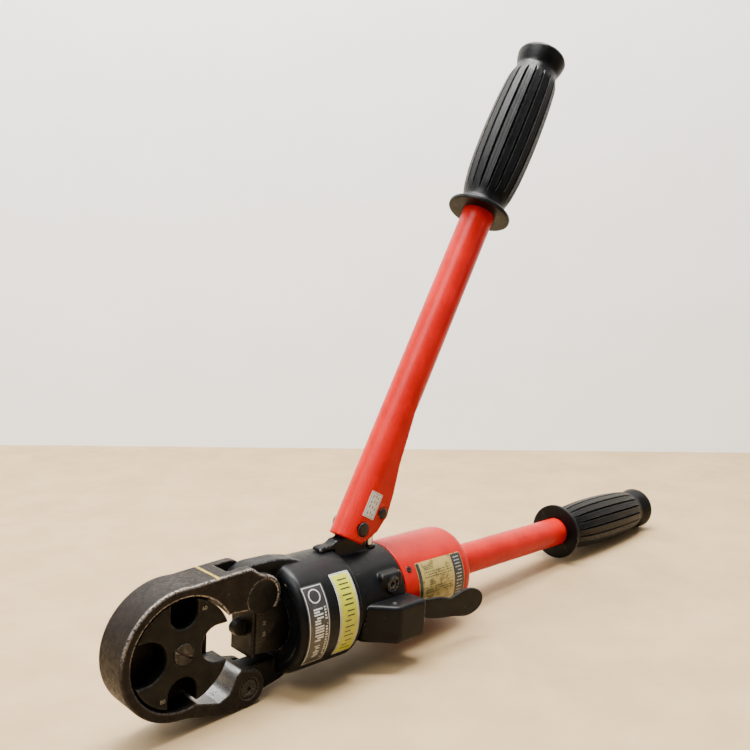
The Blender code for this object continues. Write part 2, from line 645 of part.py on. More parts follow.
def build_movable_handle():
    """A tube that is opened along its rear side near the pivot, with two plates flaring from the slot."""
    length = MOVABLE_FLANGE + TUBE_IN_GRIP - HEEL_END
    middle = (HEEL_END + length / 2, 0, 0)
    handle = rod("movable_handle", TUBE_RADIUS, length, middle, AXIS_X, RED_PAINT, 32, HANDLE_SWING)
    plates = plate("side_plates", side_plate_outline(), TUBE_RADIUS, None, HANDLE_SWING)
    fuse(handle, plates)
    channel_start = HEEL_END - 20 * MM
    round_length = SLOT_END - channel_start
    round_middle = (channel_start + round_length / 2, 0, 0)
    channel = rod("channel_cutter", CHANNEL_INNER, round_length, round_middle, AXIS_X, None, 28, HANDLE_SWING)
    slot_straight = SLOT_END - CHANNEL_INNER
    slot = box("slot_cutter", (channel_start, -CHANNEL_INNER, -40 * MM), (slot_straight, CHANNEL_INNER, 0),
               None, HANDLE_SWING)
    slot_end = rod("slot_end_cutter", CHANNEL_INNER, 40 * MM, (slot_straight, 0, -20 * MM), AXIS_Z, None, 28,
                   HANDLE_SWING)
    bore_length = length - SLOT_END
    bore_middle = (SLOT_END - 4 * MM + bore_length / 2, 0, 0)
    bore = rod("handle_bore_cutter", TUBE_RADIUS - TUBE_WALL, bore_length, bore_middle, AXIS_X, None, 24,
               HANDLE_SWING)
    reach = TUBE_RADIUS + MM
    pivot_hole = rod("pivot_hole_cutter", PIVOT_PIN_RADIUS + CLEARANCE, 2 * reach, (0, 0, 0), AXIS_Y, None, 20,
                     HANDLE_SWING)
    pin_place = to_handle(PLUNGER_PIN)
    pin_hole = rod("pin_hole_cutter", PLUNGER_PIN_RADIUS + CLEARANCE, 2 * reach, pin_place, AXIS_Y, None, 20,
                   HANDLE_SWING)
    cut(handle, channel, slot, slot_end, bore, pivot_hole, pin_hole)


def build_handle_label():
    """A film label above the two pins, wrapped from the flat side plate onto the round front."""
    below = -5.6 * MM
    turns = [math.radians(step) for step in (0, 8, 16, 24)]
    inner = TUBE_RADIUS + 0.1 * MM
    outer = inner + 0.25 * MM
    points = [(-inner, below)]
    points += [(-inner * math.cos(turn), inner * math.sin(turn)) for turn in turns]
    points += [(-outer * math.cos(turn), outer * math.sin(turn)) for turn in turns[::-1]]
    points += [(-outer, below)]
    wedge("handle_label", points, 9.1 * MM, 28.2 * MM, WHITE_LABEL, HANDLE_SWING)


def to_handle(point):
    """A tool-frame point in the movable handle's own frame."""
    away = point - PIVOT
    along = away.x * math.cos(HANDLE_ANGLE) + away.z * math.sin(HANDLE_ANGLE)
    across = away.z * math.cos(HANDLE_ANGLE) - away.x * math.sin(HANDLE_ANGLE)
    return Vector((along, away.y, across))


def build_handle_pins():
    length = TUBE_RADIUS + 2.4 * MM
    pins = {
        "handle_pivot_pin": (Vector((0, 0, 0)), PIVOT_PIN_RADIUS, 5.3 * MM),
        "plunger_pin": (to_handle(PLUNGER_PIN), PLUNGER_PIN_RADIUS, 4.0 * MM),
    }
    for name, (centre, radius, head) in pins.items():
        profile = [
            (length, 0.0),
            (length, radius),
            (-TUBE_RADIUS - CLEARANCE, radius),
            (-TUBE_RADIUS - CLEARANCE, head),
            (-TUBE_RADIUS - 0.9 * MM, head),
            (-TUBE_RADIUS - 1.5 * MM, head - 0.9 * MM),
            (-TUBE_RADIUS - 1.5 * MM, 0.0),
        ]
        turned(name, profile, PIN_STEEL, centre, AXIS_Y, 24, HANDLE_SWING)
        clip_start = TUBE_RADIUS + CLEARANCE
        ring(name + "_clip", radius + 0.1 * MM, head, clip_start, clip_start + 1.2 * MM, PIN_STEEL, centre,
             AXIS_Y, 20, HANDLE_SWING)


def grip_profile(start):
    """Outer and inner outline of a rubber grip, from its closed end back to its flange."""
    outer = [
        (0.0, 25.1), (1.2, 25.1), (4.0, 24.2), (6.5, 18.2), (12.0, 17.4), (22.0, 19.3), (40.0, 21.2),
        (70.0, 22.0), (100.0, 21.4), (124.0, 20.0), (133.0, 18.2), (137.0, 17.1), (141.0, 18.4),
        (146.0, 19.8), (150.4, 19.0), (152.4, 16.5),
    ]
    profile = [(start + GRIP_LENGTH, 0.0)]
    profile += [(start + along * MM, radius * MM) for along, radius in outer[::-1]]
    depth = TUBE_IN_GRIP + CLEARANCE
    profile += [(start, GRIP_BORE), (start + depth, GRIP_BORE), (start + depth, 0.0)]
    return profile


def build_grips():
    turned("fixed_grip", grip_profile(FIXED_FLANGE), RUBBER, steps=36)
    turned("movable_grip", grip_profile(MOVABLE_FLANGE), RUBBER, (0, 0, 0), AXIS_X, 36, HANDLE_SWING)


def build_reservoir():
    wall = RESERVOIR_WALL
    shoulder = arc((RESERVOIR_SHOULDER, RESERVOIR_RADIUS - 11.0 * MM), 11.0 * MM, 0, 90, 5)
    outer = [(RESERVOIR_REAR, TUBE_RADIUS + 2.5 * MM)] + shoulder
    inner = [(RESERVOIR_SHOULDER - MM, RESERVOIR_RADIUS - wall), (RESERVOIR_SHOULDER + 7 * MM, 20 * MM)]
    neck = TUBE_RADIUS + CLEARANCE
    profile = outer + [
        (RESERVOIR_FRONT, RESERVOIR_RADIUS),
        (RESERVOIR_FRONT, RESERVOIR_RADIUS - wall),
    ] + inner + [(RESERVOIR_SHOULDER + 7 * MM, neck), (RESERVOIR_REAR, neck)]
    tube = turned("reservoir_tube", profile, RED_PAINT, steps=56)
    lean = SET_SCREW_ANGLE
    outwards = Vector((0.0, -math.sin(lean), math.cos(lean)))
    at_front = Vector((SET_SCREW_X, 0.0, 0.0))
    hole_place = at_front + outwards * (RESERVOIR_RADIUS - 1 * MM)
    cut(tube, rod("set_screw_cutter", 2.7 * MM, 8 * MM, hole_place, (lean, 0.0, 0.0), None, 16))
    screw_place = at_front + outwards * (RESERVOIR_RADIUS - 1.2 * MM)
    rod("reservoir_set_screw", 2.4 * MM, 2.8 * MM, screw_place, (lean, 0.0, 0.0), PIN_STEEL, 16)
    bladder = [
        (241.0 * MM, 0.0),
        (241.0 * MM, 14.0 * MM),
        (233.0 * MM, 23.0 * MM),
        (191.0 * MM, 23.0 * MM),
        (187.0 * MM, 18.0 * MM),
        (187.0 * MM, 0.0),
    ]
    turned("oil_bladder", bladder, SEAL_RUBBER, steps=28)
    end = FIXED_FLANGE + TUBE_IN_GRIP
    ring("fixed_handle_tube", TUBE_RADIUS - TUBE_WALL, TUBE_RADIUS, 247 * MM, end, RED_PAINT, steps=32)


def build_release():
    low = (GUARD_X[0], GUARD_FRONT, GUARD_Z[0])
    high = (GUARD_X[1], -20 * MM, GUARD_Z[1])
    guard = box("release_guard", low, high, BLACK_PAINT)
    soften(guard, 4.0 * MM, 3)
    slope = box("guard_slope_cutter", (-60 * MM, -40 * MM, -40 * MM), (60 * MM, 0, 40 * MM), None)
    for vertex in slope.data.vertices:
        vertex.co.y -= 20 * MM
    slope.location = (GUARD_X[0], -31.0 * MM, -10 * MM)
    slope.rotation_euler = (0.0, 0.0, -GUARD_SLOPE)
    hollow = box("guard_hollow_cutter", (GUARD_HOLLOW_X, GUARD_FRONT + 2.6 * MM, -8.6 * MM),
                 (GUARD_X[1] + 5 * MM, -36.5 * MM, 3.2 * MM), None)
    body = rod("guard_seat_cutter", PUMP_RADIUS + CLEARANCE, 80 * MM, (160 * MM, 0, 0), AXIS_X, None, 56)
    pin = rod("guard_pin_cutter", LEVER_PIN_RADIUS + CLEARANCE, 16 * MM, LEVER_PIVOT, AXIS_Z, None, 16)
    valve = hole_y("guard_valve_cutter", VALVE_PLACE, 2.8 * MM, -40 * MM, -20 * MM, 20)
    cut(guard, slope, hollow, body, pin, valve)


def build_release_lever():
    """A flat arm that leans out of the guard and ends in a rounded paddle."""
    lower = millimetres((-2.6, -3.2), (26, -4.6), (30, -10.0), (43, -12.6), (56, -14.0))
    paddle = [(71 * MM + x * 1.55, -6 * MM + z) for x, z in arc((0.0, 0.0), 10.5 * MM, -110, 110, 12)]
    upper = millimetres((54, 0.5), (44, 3.4), (25, 5.0), (-2.6, 3.2))
    lever = plate("release_lever", lower + paddle + upper, 1.5 * MM, BLACK_PAINT)
    lever.location = LEVER_PIVOT
    lever.rotation_euler = (math.pi / 2, 0.0, -LEVER_LEAN)
    knuckle = rod("lever_knuckle", 3.0 * MM, 6.4 * MM, LEVER_PIVOT, AXIS_Z, None, 16)
    hole = rod("lever_hole_cutter", LEVER_PIN_RADIUS + CLEARANCE, 20 * MM, LEVER_PIVOT, AXIS_Z, None, 16)
    fuse(lever, knuckle)
    cut(lever, hole)
    rod("release_lever_pin", LEVER_PIN_RADIUS, 14 * MM, LEVER_PIVOT, AXIS_Z, PIN_STEEL, 16)
    profile = [
        (-41.2 * MM, 0.0),
        (-41.2 * MM, 2.4 * MM),
        (-12.6 * MM, 2.4 * MM),
        (-10.8 * MM, 0.0),
    ]
    turned("release_valve_pin", profile[::-1], BRIGHT_STEEL, (VALVE_PLACE.x, 0, VALVE_PLACE.z), AXIS_Y, 20)


def wrapped_label(name, start, end, radius, angles, thickness, surface):
    """A thin label around the body between two angles measured from +Z towards -Y."""
    label = ring(name, radius, radius + thickness, start, end, surface, steps=56)
    first, last = (math.radians(angle) for angle in angles)
    middle = (first + last) / 2
    reach = 60 * MM
    points = [(0.0, 0.0)]
    for step in range(5):
        angle = first + (last - first) * step / 4
        points.append((-reach * math.sin(angle), reach * math.cos(angle)))
    keep = wedge(name + "_sector", points, start - MM, end + MM)
    combine(label, keep, "INTERSECT")
    return label


def wedge(name, points, start, end, surface=None, parent=TOOL):
    """A prism along X whose section is a list of (Y, Z) points."""
    def fill(work):
        near = [work.verts.new((start, y, z)) for y, z in points]
        face = work.faces.new(near)
        grown = bmesh.ops.extrude_face_region(work, geom=[face])
        moved = [item for item in grown["geom"] if isinstance(item, bmesh.types.BMVert)]
        bmesh.ops.translate(work, vec=(end - start, 0, 0), verts=moved)
        bmesh.ops.recalc_face_normals(work, faces=work.faces)
    return mesh_object(name, fill, (0, 0, 0), AXIS_Z, surface, parent)


def build_labels():
    on_cylinder = CYLINDER_RADIUS + 0.05 * MM
    on_reservoir = RESERVOIR_RADIUS + 0.05 * MM
    wrapped_label("model_label", 75.8 * MM, 94.2 * MM, on_cylinder, (43, 128), 0.3 * MM, BLACK_LABEL)
    wrapped_label("yellow_label", 102.8 * MM, 119.8 * MM, on_cylinder, (38, 128), 0.3 * MM, YELLOW_LABEL)
    wrapped_label("spec_plate", 185.5 * MM, 236.0 * MM, on_reservoir, (50, 138), 0.4 * MM, PLATE_METAL)


def stand_on_origin():
    """Moves the whole tool so that the middle of its bounding box's base is at the origin."""
    graph = bpy.context.evaluated_depsgraph_get()
    points = []
    for obj in PARTS.objects:
        if obj.type == "EMPTY":
            continue
        shown = obj.evaluated_get(graph)
        mesh = shown.to_mesh()
        points += [shown.matrix_world @ vertex.co for vertex in mesh.vertices]
        shown.to_mesh_clear()
    low = Vector([min(point[axis] for point in points) for axis in range(3)])
    high = Vector([max(point[axis] for point in points) for axis in range(3)])
    middle = (low + high) / 2
    TOOL.location = (-middle.x, -middle.y, -low.z)


def main():
    build_yoke()
    build_die()
    build_die_pivot()
    build_detent()
    build_pins()
    build_cylinder()
    build_ram()
    build_punch()
    build_return_spring()
    build_pump_body()
    build_plunger()
    build_valves()
    build_movable_handle()
    build_handle_pins()
    build_handle_label()
    build_grips()
    build_reservoir()
    build_release()
    build_release_lever()
    build_labels()
    stand_on_origin()


main()
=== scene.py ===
"""Looks of the hydraulic crimping tool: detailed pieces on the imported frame, materials, light and camera."""
import json
import math
import random

import bmesh
import bpy
from mathutils import Matrix, Vector


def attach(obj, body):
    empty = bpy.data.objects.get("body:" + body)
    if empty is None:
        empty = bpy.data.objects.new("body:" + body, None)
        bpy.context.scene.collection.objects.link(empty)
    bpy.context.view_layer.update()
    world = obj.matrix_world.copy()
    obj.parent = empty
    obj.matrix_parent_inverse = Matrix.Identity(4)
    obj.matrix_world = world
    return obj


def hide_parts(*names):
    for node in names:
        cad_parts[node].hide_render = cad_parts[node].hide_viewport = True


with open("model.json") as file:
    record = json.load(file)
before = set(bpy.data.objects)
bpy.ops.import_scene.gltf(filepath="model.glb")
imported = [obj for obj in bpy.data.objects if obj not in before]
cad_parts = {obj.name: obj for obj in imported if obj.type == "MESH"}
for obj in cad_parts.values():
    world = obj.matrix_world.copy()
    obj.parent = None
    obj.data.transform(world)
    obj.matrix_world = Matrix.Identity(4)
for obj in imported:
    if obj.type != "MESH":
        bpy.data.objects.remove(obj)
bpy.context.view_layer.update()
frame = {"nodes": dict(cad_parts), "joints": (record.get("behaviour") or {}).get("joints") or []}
NODES = frame["nodes"]
MM = 0.001


def joint(name):
    return next(item for item in frame["joints"] if item["name"] == name)


def frame_matrix(origin, along, across, up):
    return Matrix.Translation(origin) @ Matrix((along, across, up)).transposed().to_4x4()


# The tool's own frame: X along the tool from the die to the rear grip, Y the die's axis, Z up.
TOOL_X = -Vector(joint("ram_slide")["axis"]).normalized()
TOOL_Y = Vector((0.0, 1.0, 0.0))
TOOL = frame_matrix(Vector(joint("die_spin")["pos_m"]), TOOL_X, TOOL_Y, TOOL_X.cross(TOOL_Y))
HANDLE_ANGLE = math.radians(62.4)
PIVOT = TOOL.inverted() @ Vector(joint("handle_swing")["pos_m"]) / MM
HANDLE = TOOL @ Matrix.Translation(PIVOT * MM) @ Matrix.Rotation(-HANDLE_ANGLE, 4, "Y")

# ---------------------------------------------------------------- camera, light and floor
CAMERA_PLACE = Vector((-260.0, -427.5, 227.2))
CAMERA_YAW = math.radians(44.508)
CAMERA_PITCH = math.radians(-6.4066)
CAMERA_ROLL = math.radians(2.9838)
CAMERA_LENS = 40.238


def make_camera():
    ahead = Vector((
        math.cos(CAMERA_PITCH) * math.sin(CAMERA_YAW),
        math.cos(CAMERA_PITCH) * math.cos(CAMERA_YAW),
        math.sin(CAMERA_PITCH),
    ))
    level = ahead.cross(Vector((0.0, 0.0, 1.0))).normalized()
    upright = level.cross(ahead)
    right = math.cos(CAMERA_ROLL) * level + math.sin(CAMERA_ROLL) * upright
    up = right.cross(ahead)
    data = bpy.data.cameras.new("camera")
    data.sensor_width = 36.0
    data.lens = CAMERA_LENS
    data.clip_start = 0.02
    data.clip_end = 40.0
    camera = bpy.data.objects.new("camera", data)
    bpy.context.scene.collection.objects.link(camera)
    camera.matrix_world = TOOL @ frame_matrix(CAMERA_PLACE * MM, right, up, -ahead)
    bpy.context.scene.camera = camera
    return camera


CAMERA = make_camera()


def area_light(name, place, target, size, energy, colour):
    data = bpy.data.lights.new(name, "AREA")
    data.shape = "RECTANGLE"
    data.size, data.size_y = size
    data.energy = energy
    data.color = colour
    light = bpy.data.objects.new(name, data)
    bpy.context.scene.collection.objects.link(light)
    light.location = place
    light.rotation_euler = (Vector(target) - Vector(place)).to_track_quat("-Z", "Y").to_euler()
    return light


def make_lights():
    world = bpy.data.worlds.new("studio")
    bpy.context.scene.world = world
    world.use_nodes = True
    background = world.node_tree.nodes["Background"]
    background.inputs["Color"].default_value = (0.93, 0.96, 1.0, 1.0)
    background.inputs["Strength"].default_value = 0.28
    target = (0.0, 0.0, 0.15)
    area_light("key_light", (-1.3, -0.2, 1.9), target, (1.0, 1.0), 46.0, (1.0, 0.985, 0.96))
    area_light("window_light", (-1.9, 0.6, 1.0), target, (0.5, 1.6), 20.0, (0.93, 0.97, 1.0))
    area_light("fill_light", (0.9, -1.9, 1.0), target, (1.2, 1.2), 5.0, (1.0, 1.0, 1.0))
    area_light("wall_light", (-0.1, 0.2, 2.4), (1.15, 1.5, 0.75), (1.6, 0.6), 330.0, (1.0, 0.995, 0.98))


# ---------------------------------------------------------------- shapes
def new_object(name, work, smooth=True, sharp_angle=35.0):
    bmesh.ops.recalc_face_normals(work, faces=work.faces)
    mesh = bpy.data.meshes.new(name)
    work.to_mesh(mesh)
    work.free()
    mesh.polygons.foreach_set("use_smooth", [smooth] * len(mesh.polygons))
    if smooth:
        mesh.set_sharp_from_angle(angle=math.radians(sharp_angle))
    obj = bpy.data.objects.new(name, mesh)
    bpy.context.scene.collection.objects.link(obj)
    return obj


def arc(centre, radius, start, end, count):
    points = []
    for step in range(count + 1):
        angle = math.radians(start + (end - start) * step / count)
        points.append((centre[0] + radius * math.cos(angle), centre[1] + radius * math.sin(angle)))
    return points


def rounded(points, reach, closed=False, steps=4):
    """The same line with its corners drawn as curves that start up to `reach` before each corner."""
    result = []
    count = len(points)
    for index, point in enumerate(points):
        corner = Vector(point)
        if not closed and index in (0, count - 1):
            result.append(tuple(corner))
            continue
        before = Vector(points[index - 1]) - corner
        after = Vector(points[(index + 1) % count]) - corner
        if math.pi - before.angle(after, math.pi) < math.radians(12):
            result.append(tuple(corner))
            continue
        start = corner + before.normalized() * min(reach, before.length * 0.45)
        end = corner + after.normalized() * min(reach, after.length * 0.45)
        for step in range(steps + 1):
            t = step / steps
            result.append(tuple(start * (1 - t) ** 2 + corner * (2 * t * (1 - t)) + end * t ** 2))
    return result


AXES = {
    "X": (Vector((1, 0, 0)), Vector((0, 1, 0)), Vector((0, 0, 1))),
    "Y": (Vector((0, 1, 0)), Vector((0, 0, 1)), Vector((1, 0, 0))),
    "Z": (Vector((0, 0, 1)), Vector((1, 0, 0)), Vector((0, 1, 0))),
}


def lathe(name, profile, axis="X", centre=(0, 0, 0), steps=96, radius_at=None, sharp_angle=35.0):
    """A solid of revolution from (height, radius) pairs in mm; closed at the axis or into a ring."""
    along, side, other = AXES[axis]
    centre = Vector(centre)
    work = bmesh.new()
    rows = []
    for index, (height, radius) in enumerate(profile):
        if radius < 1e-6:
            rows.append([work.verts.new((centre + along * height) * MM)])
            continue
        row = []
        for step in range(steps):
            angle = 2 * math.pi * step / steps
            reach = radius if radius_at is None else radius_at(height, radius, angle, index)
            spot = centre + along * height + (side * math.cos(angle) + other * math.sin(angle)) * reach
            row.append(work.verts.new(spot * MM))
        rows.append(row)
    pairs = list(zip(rows, rows[1:]))
    if len(rows[0]) > 1 and len(rows[-1]) > 1:
        pairs.append((rows[-1], rows[0]))
    for low, high in pairs:
        for step in range(steps):
            following = (step + 1) % steps
            if len(low) == 1 and len(high) == 1:
                continue
            if len(low) == 1:
                work.faces.new((low[0], high[following], high[step]))
            elif len(high) == 1:
                work.faces.new((low[step], low[following], high[0]))
            else:
                work.faces.new((low[step], low[following], high[following], high[step]))
    return new_object(name, work, True, sharp_angle)


def prism(name, outline, low, high, bend=None):
    """An outline in the XZ plane (mm) between two heights along Y."""
    work = bmesh.new()
    faces = []
    for height in (low, high):
        faces.append([work.verts.new(Vector((x, height, z)) * MM) for x, z in outline])
    count = len(outline)
    work.faces.new(faces[0])
    work.faces.new(faces[1][::-1])
    for index in range(count):
        after = (index + 1) % count
        work.faces.new((faces[0][index], faces[1][index], faces[1][after], faces[0][after]))
    if bend:
        for vertex in work.verts:
            vertex.co = bend(vertex.co / MM) * MM
    return new_object(name, work, True)


def block(name, low, high):
    outline = [(low[0], low[2]), (high[0], low[2]), (high[0], high[2]), (low[0], high[2])]
    return prism(name, outline, low[1], high[1])


def rod(name, radius, low, high, axis="Y", centre=(0, 0, 0), steps=64):
    return lathe(name, [(low, 0.0), (low, radius), (high, radius), (high, 0.0)], axis, centre, steps)


def settle_modifiers(obj):
    bpy.context.view_layer.update()
    graph = bpy.context.evaluated_depsgraph_get()
    mesh = bpy.data.meshes.new_from_object(obj.evaluated_get(graph))
    obj.modifiers.clear()
    obj.data = mesh


def combine(obj, tools, operation):
    for tool in tools:
        boolean = obj.modifiers.new(tool.name, "BOOLEAN")
        boolean.operation = operation
        boolean.object = tool
        boolean.solver = "EXACT"
    settle_modifiers(obj)
    for tool in tools:
        bpy.data.objects.remove(tool, do_unlink=True)


def cut(obj, *tools):
    combine(obj, tools, "DIFFERENCE")


def fuse(obj, *tools):
    combine(obj, tools, "UNION")


def trim(obj, *tools):
    combine(obj, tools, "INTERSECT")


def bevel(obj, width, segments=3, angle=35.0):
    edges = obj.modifiers.new("edges", "BEVEL")
    edges.width = width * MM
    edges.segments = segments
    edges.limit_method = "ANGLE"
    edges.angle_limit = math.radians(angle)
    edges.use_clamp_overlap = True
    edges.harden_normals = False
    settle_modifiers(obj)
    obj.data.polygons.foreach_set("use_smooth", [True] * len(obj.data.polygons))
    obj.data.set_sharp_from_angle(angle=math.radians(35))


def forge(obj, voxel, passes=4):
    """Turns the solid into an even fine mesh and rounds its edges as a casting's are."""
    remesh = obj.modifiers.new("forge", "REMESH")
    remesh.mode = "VOXEL"
    remesh.voxel_size = voxel * MM
    remesh.use_smooth_shade = True
    if passes:
        smooth = obj.modifiers.new("soften", "SMOOTH")
        smooth.factor = 0.5
        smooth.iterations = passes
    settle_modifiers(obj)
    obj.data.polygons.foreach_set("use_smooth", [True] * len(obj.data.polygons))


def join(name, objs):
    work = bmesh.new()
    for obj in objs:
        work.from_mesh(obj.data)
    for obj in objs:
        bpy.data.objects.remove(obj, do_unlink=True)
    mesh = bpy.data.meshes.new(name)
    work.to_mesh(mesh)
    work.free()
    made = bpy.data.objects.new(name, mesh)
    bpy.context.scene.collection.objects.link(made)
    return made


def place(obj, body, surface, slot, *nodes, matrix=None):
    """Puts a finished piece in the tool's frame, on its body, with its material."""
    obj.data.materials.clear()
    obj.data.materials.append(surface)
    obj.matrix_world = TOOL if matrix is None else matrix
    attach(obj, body)
    if nodes:
        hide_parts(*nodes)
    return obj


# ---------------------------------------------------------------- materials
class Surface:
    """A procedural material put together from a few kinds of node."""

    def __init__(self, name, metallic=0.0, coat=0.0, coat_roughness=0.2, specular=0.5):
        self.material = bpy.data.materials.new(name)
        self.material.use_nodes = True
        self.tree = self.material.node_tree
        self.shader = self.tree.nodes["Principled BSDF"]
        self.spot = self.tree.nodes.new("ShaderNodeTexCoord").outputs["Object"]
        self.geometry = self.tree.nodes.new("ShaderNodeNewGeometry")
        self.shader.inputs["Metallic"].default_value = metallic
        self.shader.inputs["Coat Weight"].default_value = coat
        self.shader.inputs["Coat Roughness"].default_value = coat_roughness
        self.shader.inputs["Specular IOR Level"].default_value = specular

    def feed(self, value, socket):
        if isinstance(value, bpy.types.NodeSocket):
            self.tree.links.new(value, socket)
        elif isinstance(value, tuple):
            socket.default_value = (*value, 1.0)
        else:
            socket.default_value = value

    def noise(self, size, detail=3.0, stretch=None, roughness=0.55):
        """Noise with features about `size` millimetres across."""
        texture = self.tree.nodes.new("ShaderNodeTexNoise")
        texture.inputs["Scale"].default_value = 1.0 / (size * MM)
        texture.inputs["Detail"].default_value = detail
        texture.inputs["Roughness"].default_value = roughness
        source = self.spot
        if stretch:
            mapping = self.tree.nodes.new("ShaderNodeMapping")
            mapping.inputs["Scale"].default_value = stretch
            self.tree.links.new(source, mapping.inputs["Vector"])
            source = mapping.outputs["Vector"]
        self.tree.links.new(source, texture.inputs["Vector"])
        return texture.outputs["Fac"]

    def span(self, value, low, high, start=0.0, end=1.0):
        """Maps low…high to start…end, smoothly and clamped."""
        node = self.tree.nodes.new("ShaderNodeMapRange")
        node.interpolation_type = "SMOOTHSTEP"
        node.inputs["From Min"].default_value = low
        node.inputs["From Max"].default_value = high
        node.inputs["To Min"].default_value = start
        node.inputs["To Max"].default_value = end
        self.tree.links.new(value, node.inputs["Value"])
        return node.outputs["Result"]

    def sum(self, operation, one, two):
        node = self.tree.nodes.new("ShaderNodeMath")
        node.operation = operation
        self.feed(one, node.inputs[0])
        self.feed(two, node.inputs[1])
        return node.outputs[0]

    def both(self, one, two):
        return self.sum("MULTIPLY", one, two)

    def either(self, one, two):
        return self.sum("MAXIMUM", one, two)

    def blend(self, factor, one, two):
        node = self.tree.nodes.new("ShaderNodeMix")
        node.data_type = "RGBA"
        self.feed(factor, node.inputs[0])
        self.feed(one, node.inputs[6])
        self.feed(two, node.inputs[7])
        return node.outputs[2]

    def mix(self, factor, one, two):
        node = self.tree.nodes.new("ShaderNodeMix")
        node.data_type = "FLOAT"
        self.feed(factor, node.inputs[0])
        self.feed(one, node.inputs[2])
        self.feed(two, node.inputs[3])
        return node.outputs[0]

    def edges(self, low=0.52, high=0.60):
        return self.span(self.geometry.outputs["Pointiness"], low, high)

    def axis(self, name):
        split = self.tree.nodes.new("ShaderNodeSeparateXYZ")
        self.tree.links.new(self.spot, split.inputs[0])
        return split.outputs[name]

    def facing(self, name):
        """How far the surface faces along one of the object's own axes, from -1 to 1."""
        turn = self.tree.nodes.new("ShaderNodeVectorTransform")
        turn.vector_type = "NORMAL"
        turn.convert_from = "WORLD"
        turn.convert_to = "OBJECT"
        self.tree.links.new(self.geometry.outputs["Normal"], turn.inputs[0])
        split = self.tree.nodes.new("ShaderNodeSeparateXYZ")
        self.tree.links.new(turn.outputs[0], split.inputs[0])
        return split.outputs[name]

    def band(self, name, low, high, soft):
        """1 between two places in mm along an axis of the object, with soft ends."""
        value = self.axis(name)
        rise = self.span(value, (low - soft) * MM, low * MM)
        fall = self.span(value, high * MM, (high + soft) * MM, 1.0, 0.0)
        return self.both(rise, fall)

    def done(self, colour, roughness, height=None, strength=0.3, depth=0.1):
        self.feed(colour, self.shader.inputs["Base Color"])
        self.feed(roughness, self.shader.inputs["Roughness"])
        if height is not None:
            bump = self.tree.nodes.new("ShaderNodeBump")
            bump.inputs["Strength"].default_value = strength
            bump.inputs["Distance"].default_value = depth * MM
            self.tree.links.new(height, bump.inputs["Height"])
            self.tree.links.new(bump.outputs["Normal"], self.shader.inputs["Normal"])
        return self.material


def cast_steel():
    s = Surface("cast_steel", specular=0.15)
    broad = s.span(s.noise(9.0, 4.0), 0.35, 0.68)
    grain = s.noise(0.8, 4.0)
    colour = s.blend(broad, (0.0050, 0.0036, 0.0028), (0.0115, 0.0082, 0.0062))
    colour = s.blend(s.span(grain, 0.45, 0.75, 0.0, 0.4), colour, (0.020, 0.0145, 0.011))
    rust = s.both(s.span(s.noise(5.0, 5.0), 0.58, 0.72), 0.6)
    colour = s.blend(rust, colour, (0.024, 0.013, 0.0075))
    chips = s.span(s.noise(1.4, 5.0), 0.36, 0.56)
    # The upper front edges get full light edge colour: partly real wear, partly a painted highlight where
    # light catches them.
    front_edge_wear_and_highlight = s.both(s.band("Y", -15.0, -10.0, 0.5), s.band("Z", 14.0, 60.0, 16.0))
    worn = s.both(s.both(s.edges(0.506, 0.535), chips), s.either(front_edge_wear_and_highlight, 0.12))
    nicks = s.both(s.span(s.noise(1.1, 2.0, (1.0, 1.0, 0.4)), 0.73, 0.77), 0.4)
    worn = s.either(worn, nicks)
    # The upward-facing walls of the lower bay get light grey steel: partly bare worn steel, partly painted
    # light from above.
    bay = s.both(s.band("X", 12.0, 41.0, 3.0), s.band("Z", -41.0, -22.5, 2.0))
    inward = s.both(s.span(s.facing("Y"), -0.5, -0.15), s.span(s.facing("Y"), 0.15, 0.5, 1.0, 0.0))
    bare_steel_and_painted_light = s.both(s.both(bay, inward), s.span(s.facing("Z"), -0.1, 0.35))
    bare_steel_and_painted_light = s.both(bare_steel_and_painted_light, s.span(s.noise(1.3, 5.0), 0.30, 0.55, 0.45, 1.0))
    # Light edge colour: edge wear everywhere, and a painted highlight on the upper front edges.
    colour = s.blend(worn, colour, (0.34, 0.30, 0.26))
    # Light grey on the upward-facing bay walls: bare steel, and painted light from above.
    colour = s.blend(bare_steel_and_painted_light, colour, (0.30, 0.30, 0.30))
    stripe = s.band("X", 21.9, 23.5, 0.3)
    crown = s.both(s.band("Z", 37.0, 60.0, 1.0), s.span(s.facing("Z"), 0.4, 0.6))
    stripe = s.both(stripe, crown)
    stripe = s.both(stripe, s.span(s.noise(1.0, 4.0), 0.36, 0.50, 0.25, 1.0))
    colour = s.blend(stripe, colour, (0.34, 0.24, 0.03))
    rough = s.span(s.noise(2.5, 4.0), 0.3, 0.7, 0.44, 0.64)
    rough = s.mix(s.either(worn, bare_steel_and_painted_light), rough, 0.32)
    metal = s.mix(s.either(worn, bare_steel_and_painted_light), 0.25, 0.85)
    s.feed(metal, s.shader.inputs["Metallic"])
    return s.done(colour, rough, s.either(grain, s.noise(2.6, 4.0)), 0.35, 0.22)


def die_steel():
    s = Surface("die_steel", specular=0.14)
    broad = s.span(s.noise(7.0, 4.0), 0.35, 0.65)
    grain = s.noise(0.6, 3.0)
    colour = s.blend(broad, (0.0032, 0.0030, 0.0024), (0.0070, 0.0064, 0.0050))
    colour = s.blend(s.span(grain, 0.5, 0.8, 0.0, 0.4), colour, (0.014, 0.012, 0.0095))
    worn = s.both(s.edges(0.508, 0.55), s.span(s.noise(1.5, 4.0), 0.36, 0.62, 0.05, 0.6))
    colour = s.blend(worn, colour, (0.10, 0.09, 0.078))
    rough = s.mix(worn, s.span(s.noise(2.0, 4.0), 0.3, 0.7, 0.36, 0.52), 0.30)
    s.feed(s.mix(worn, 0.30, 0.9), s.shader.inputs["Metallic"])
    return s.done(colour, rough, grain, 0.35, 0.15)


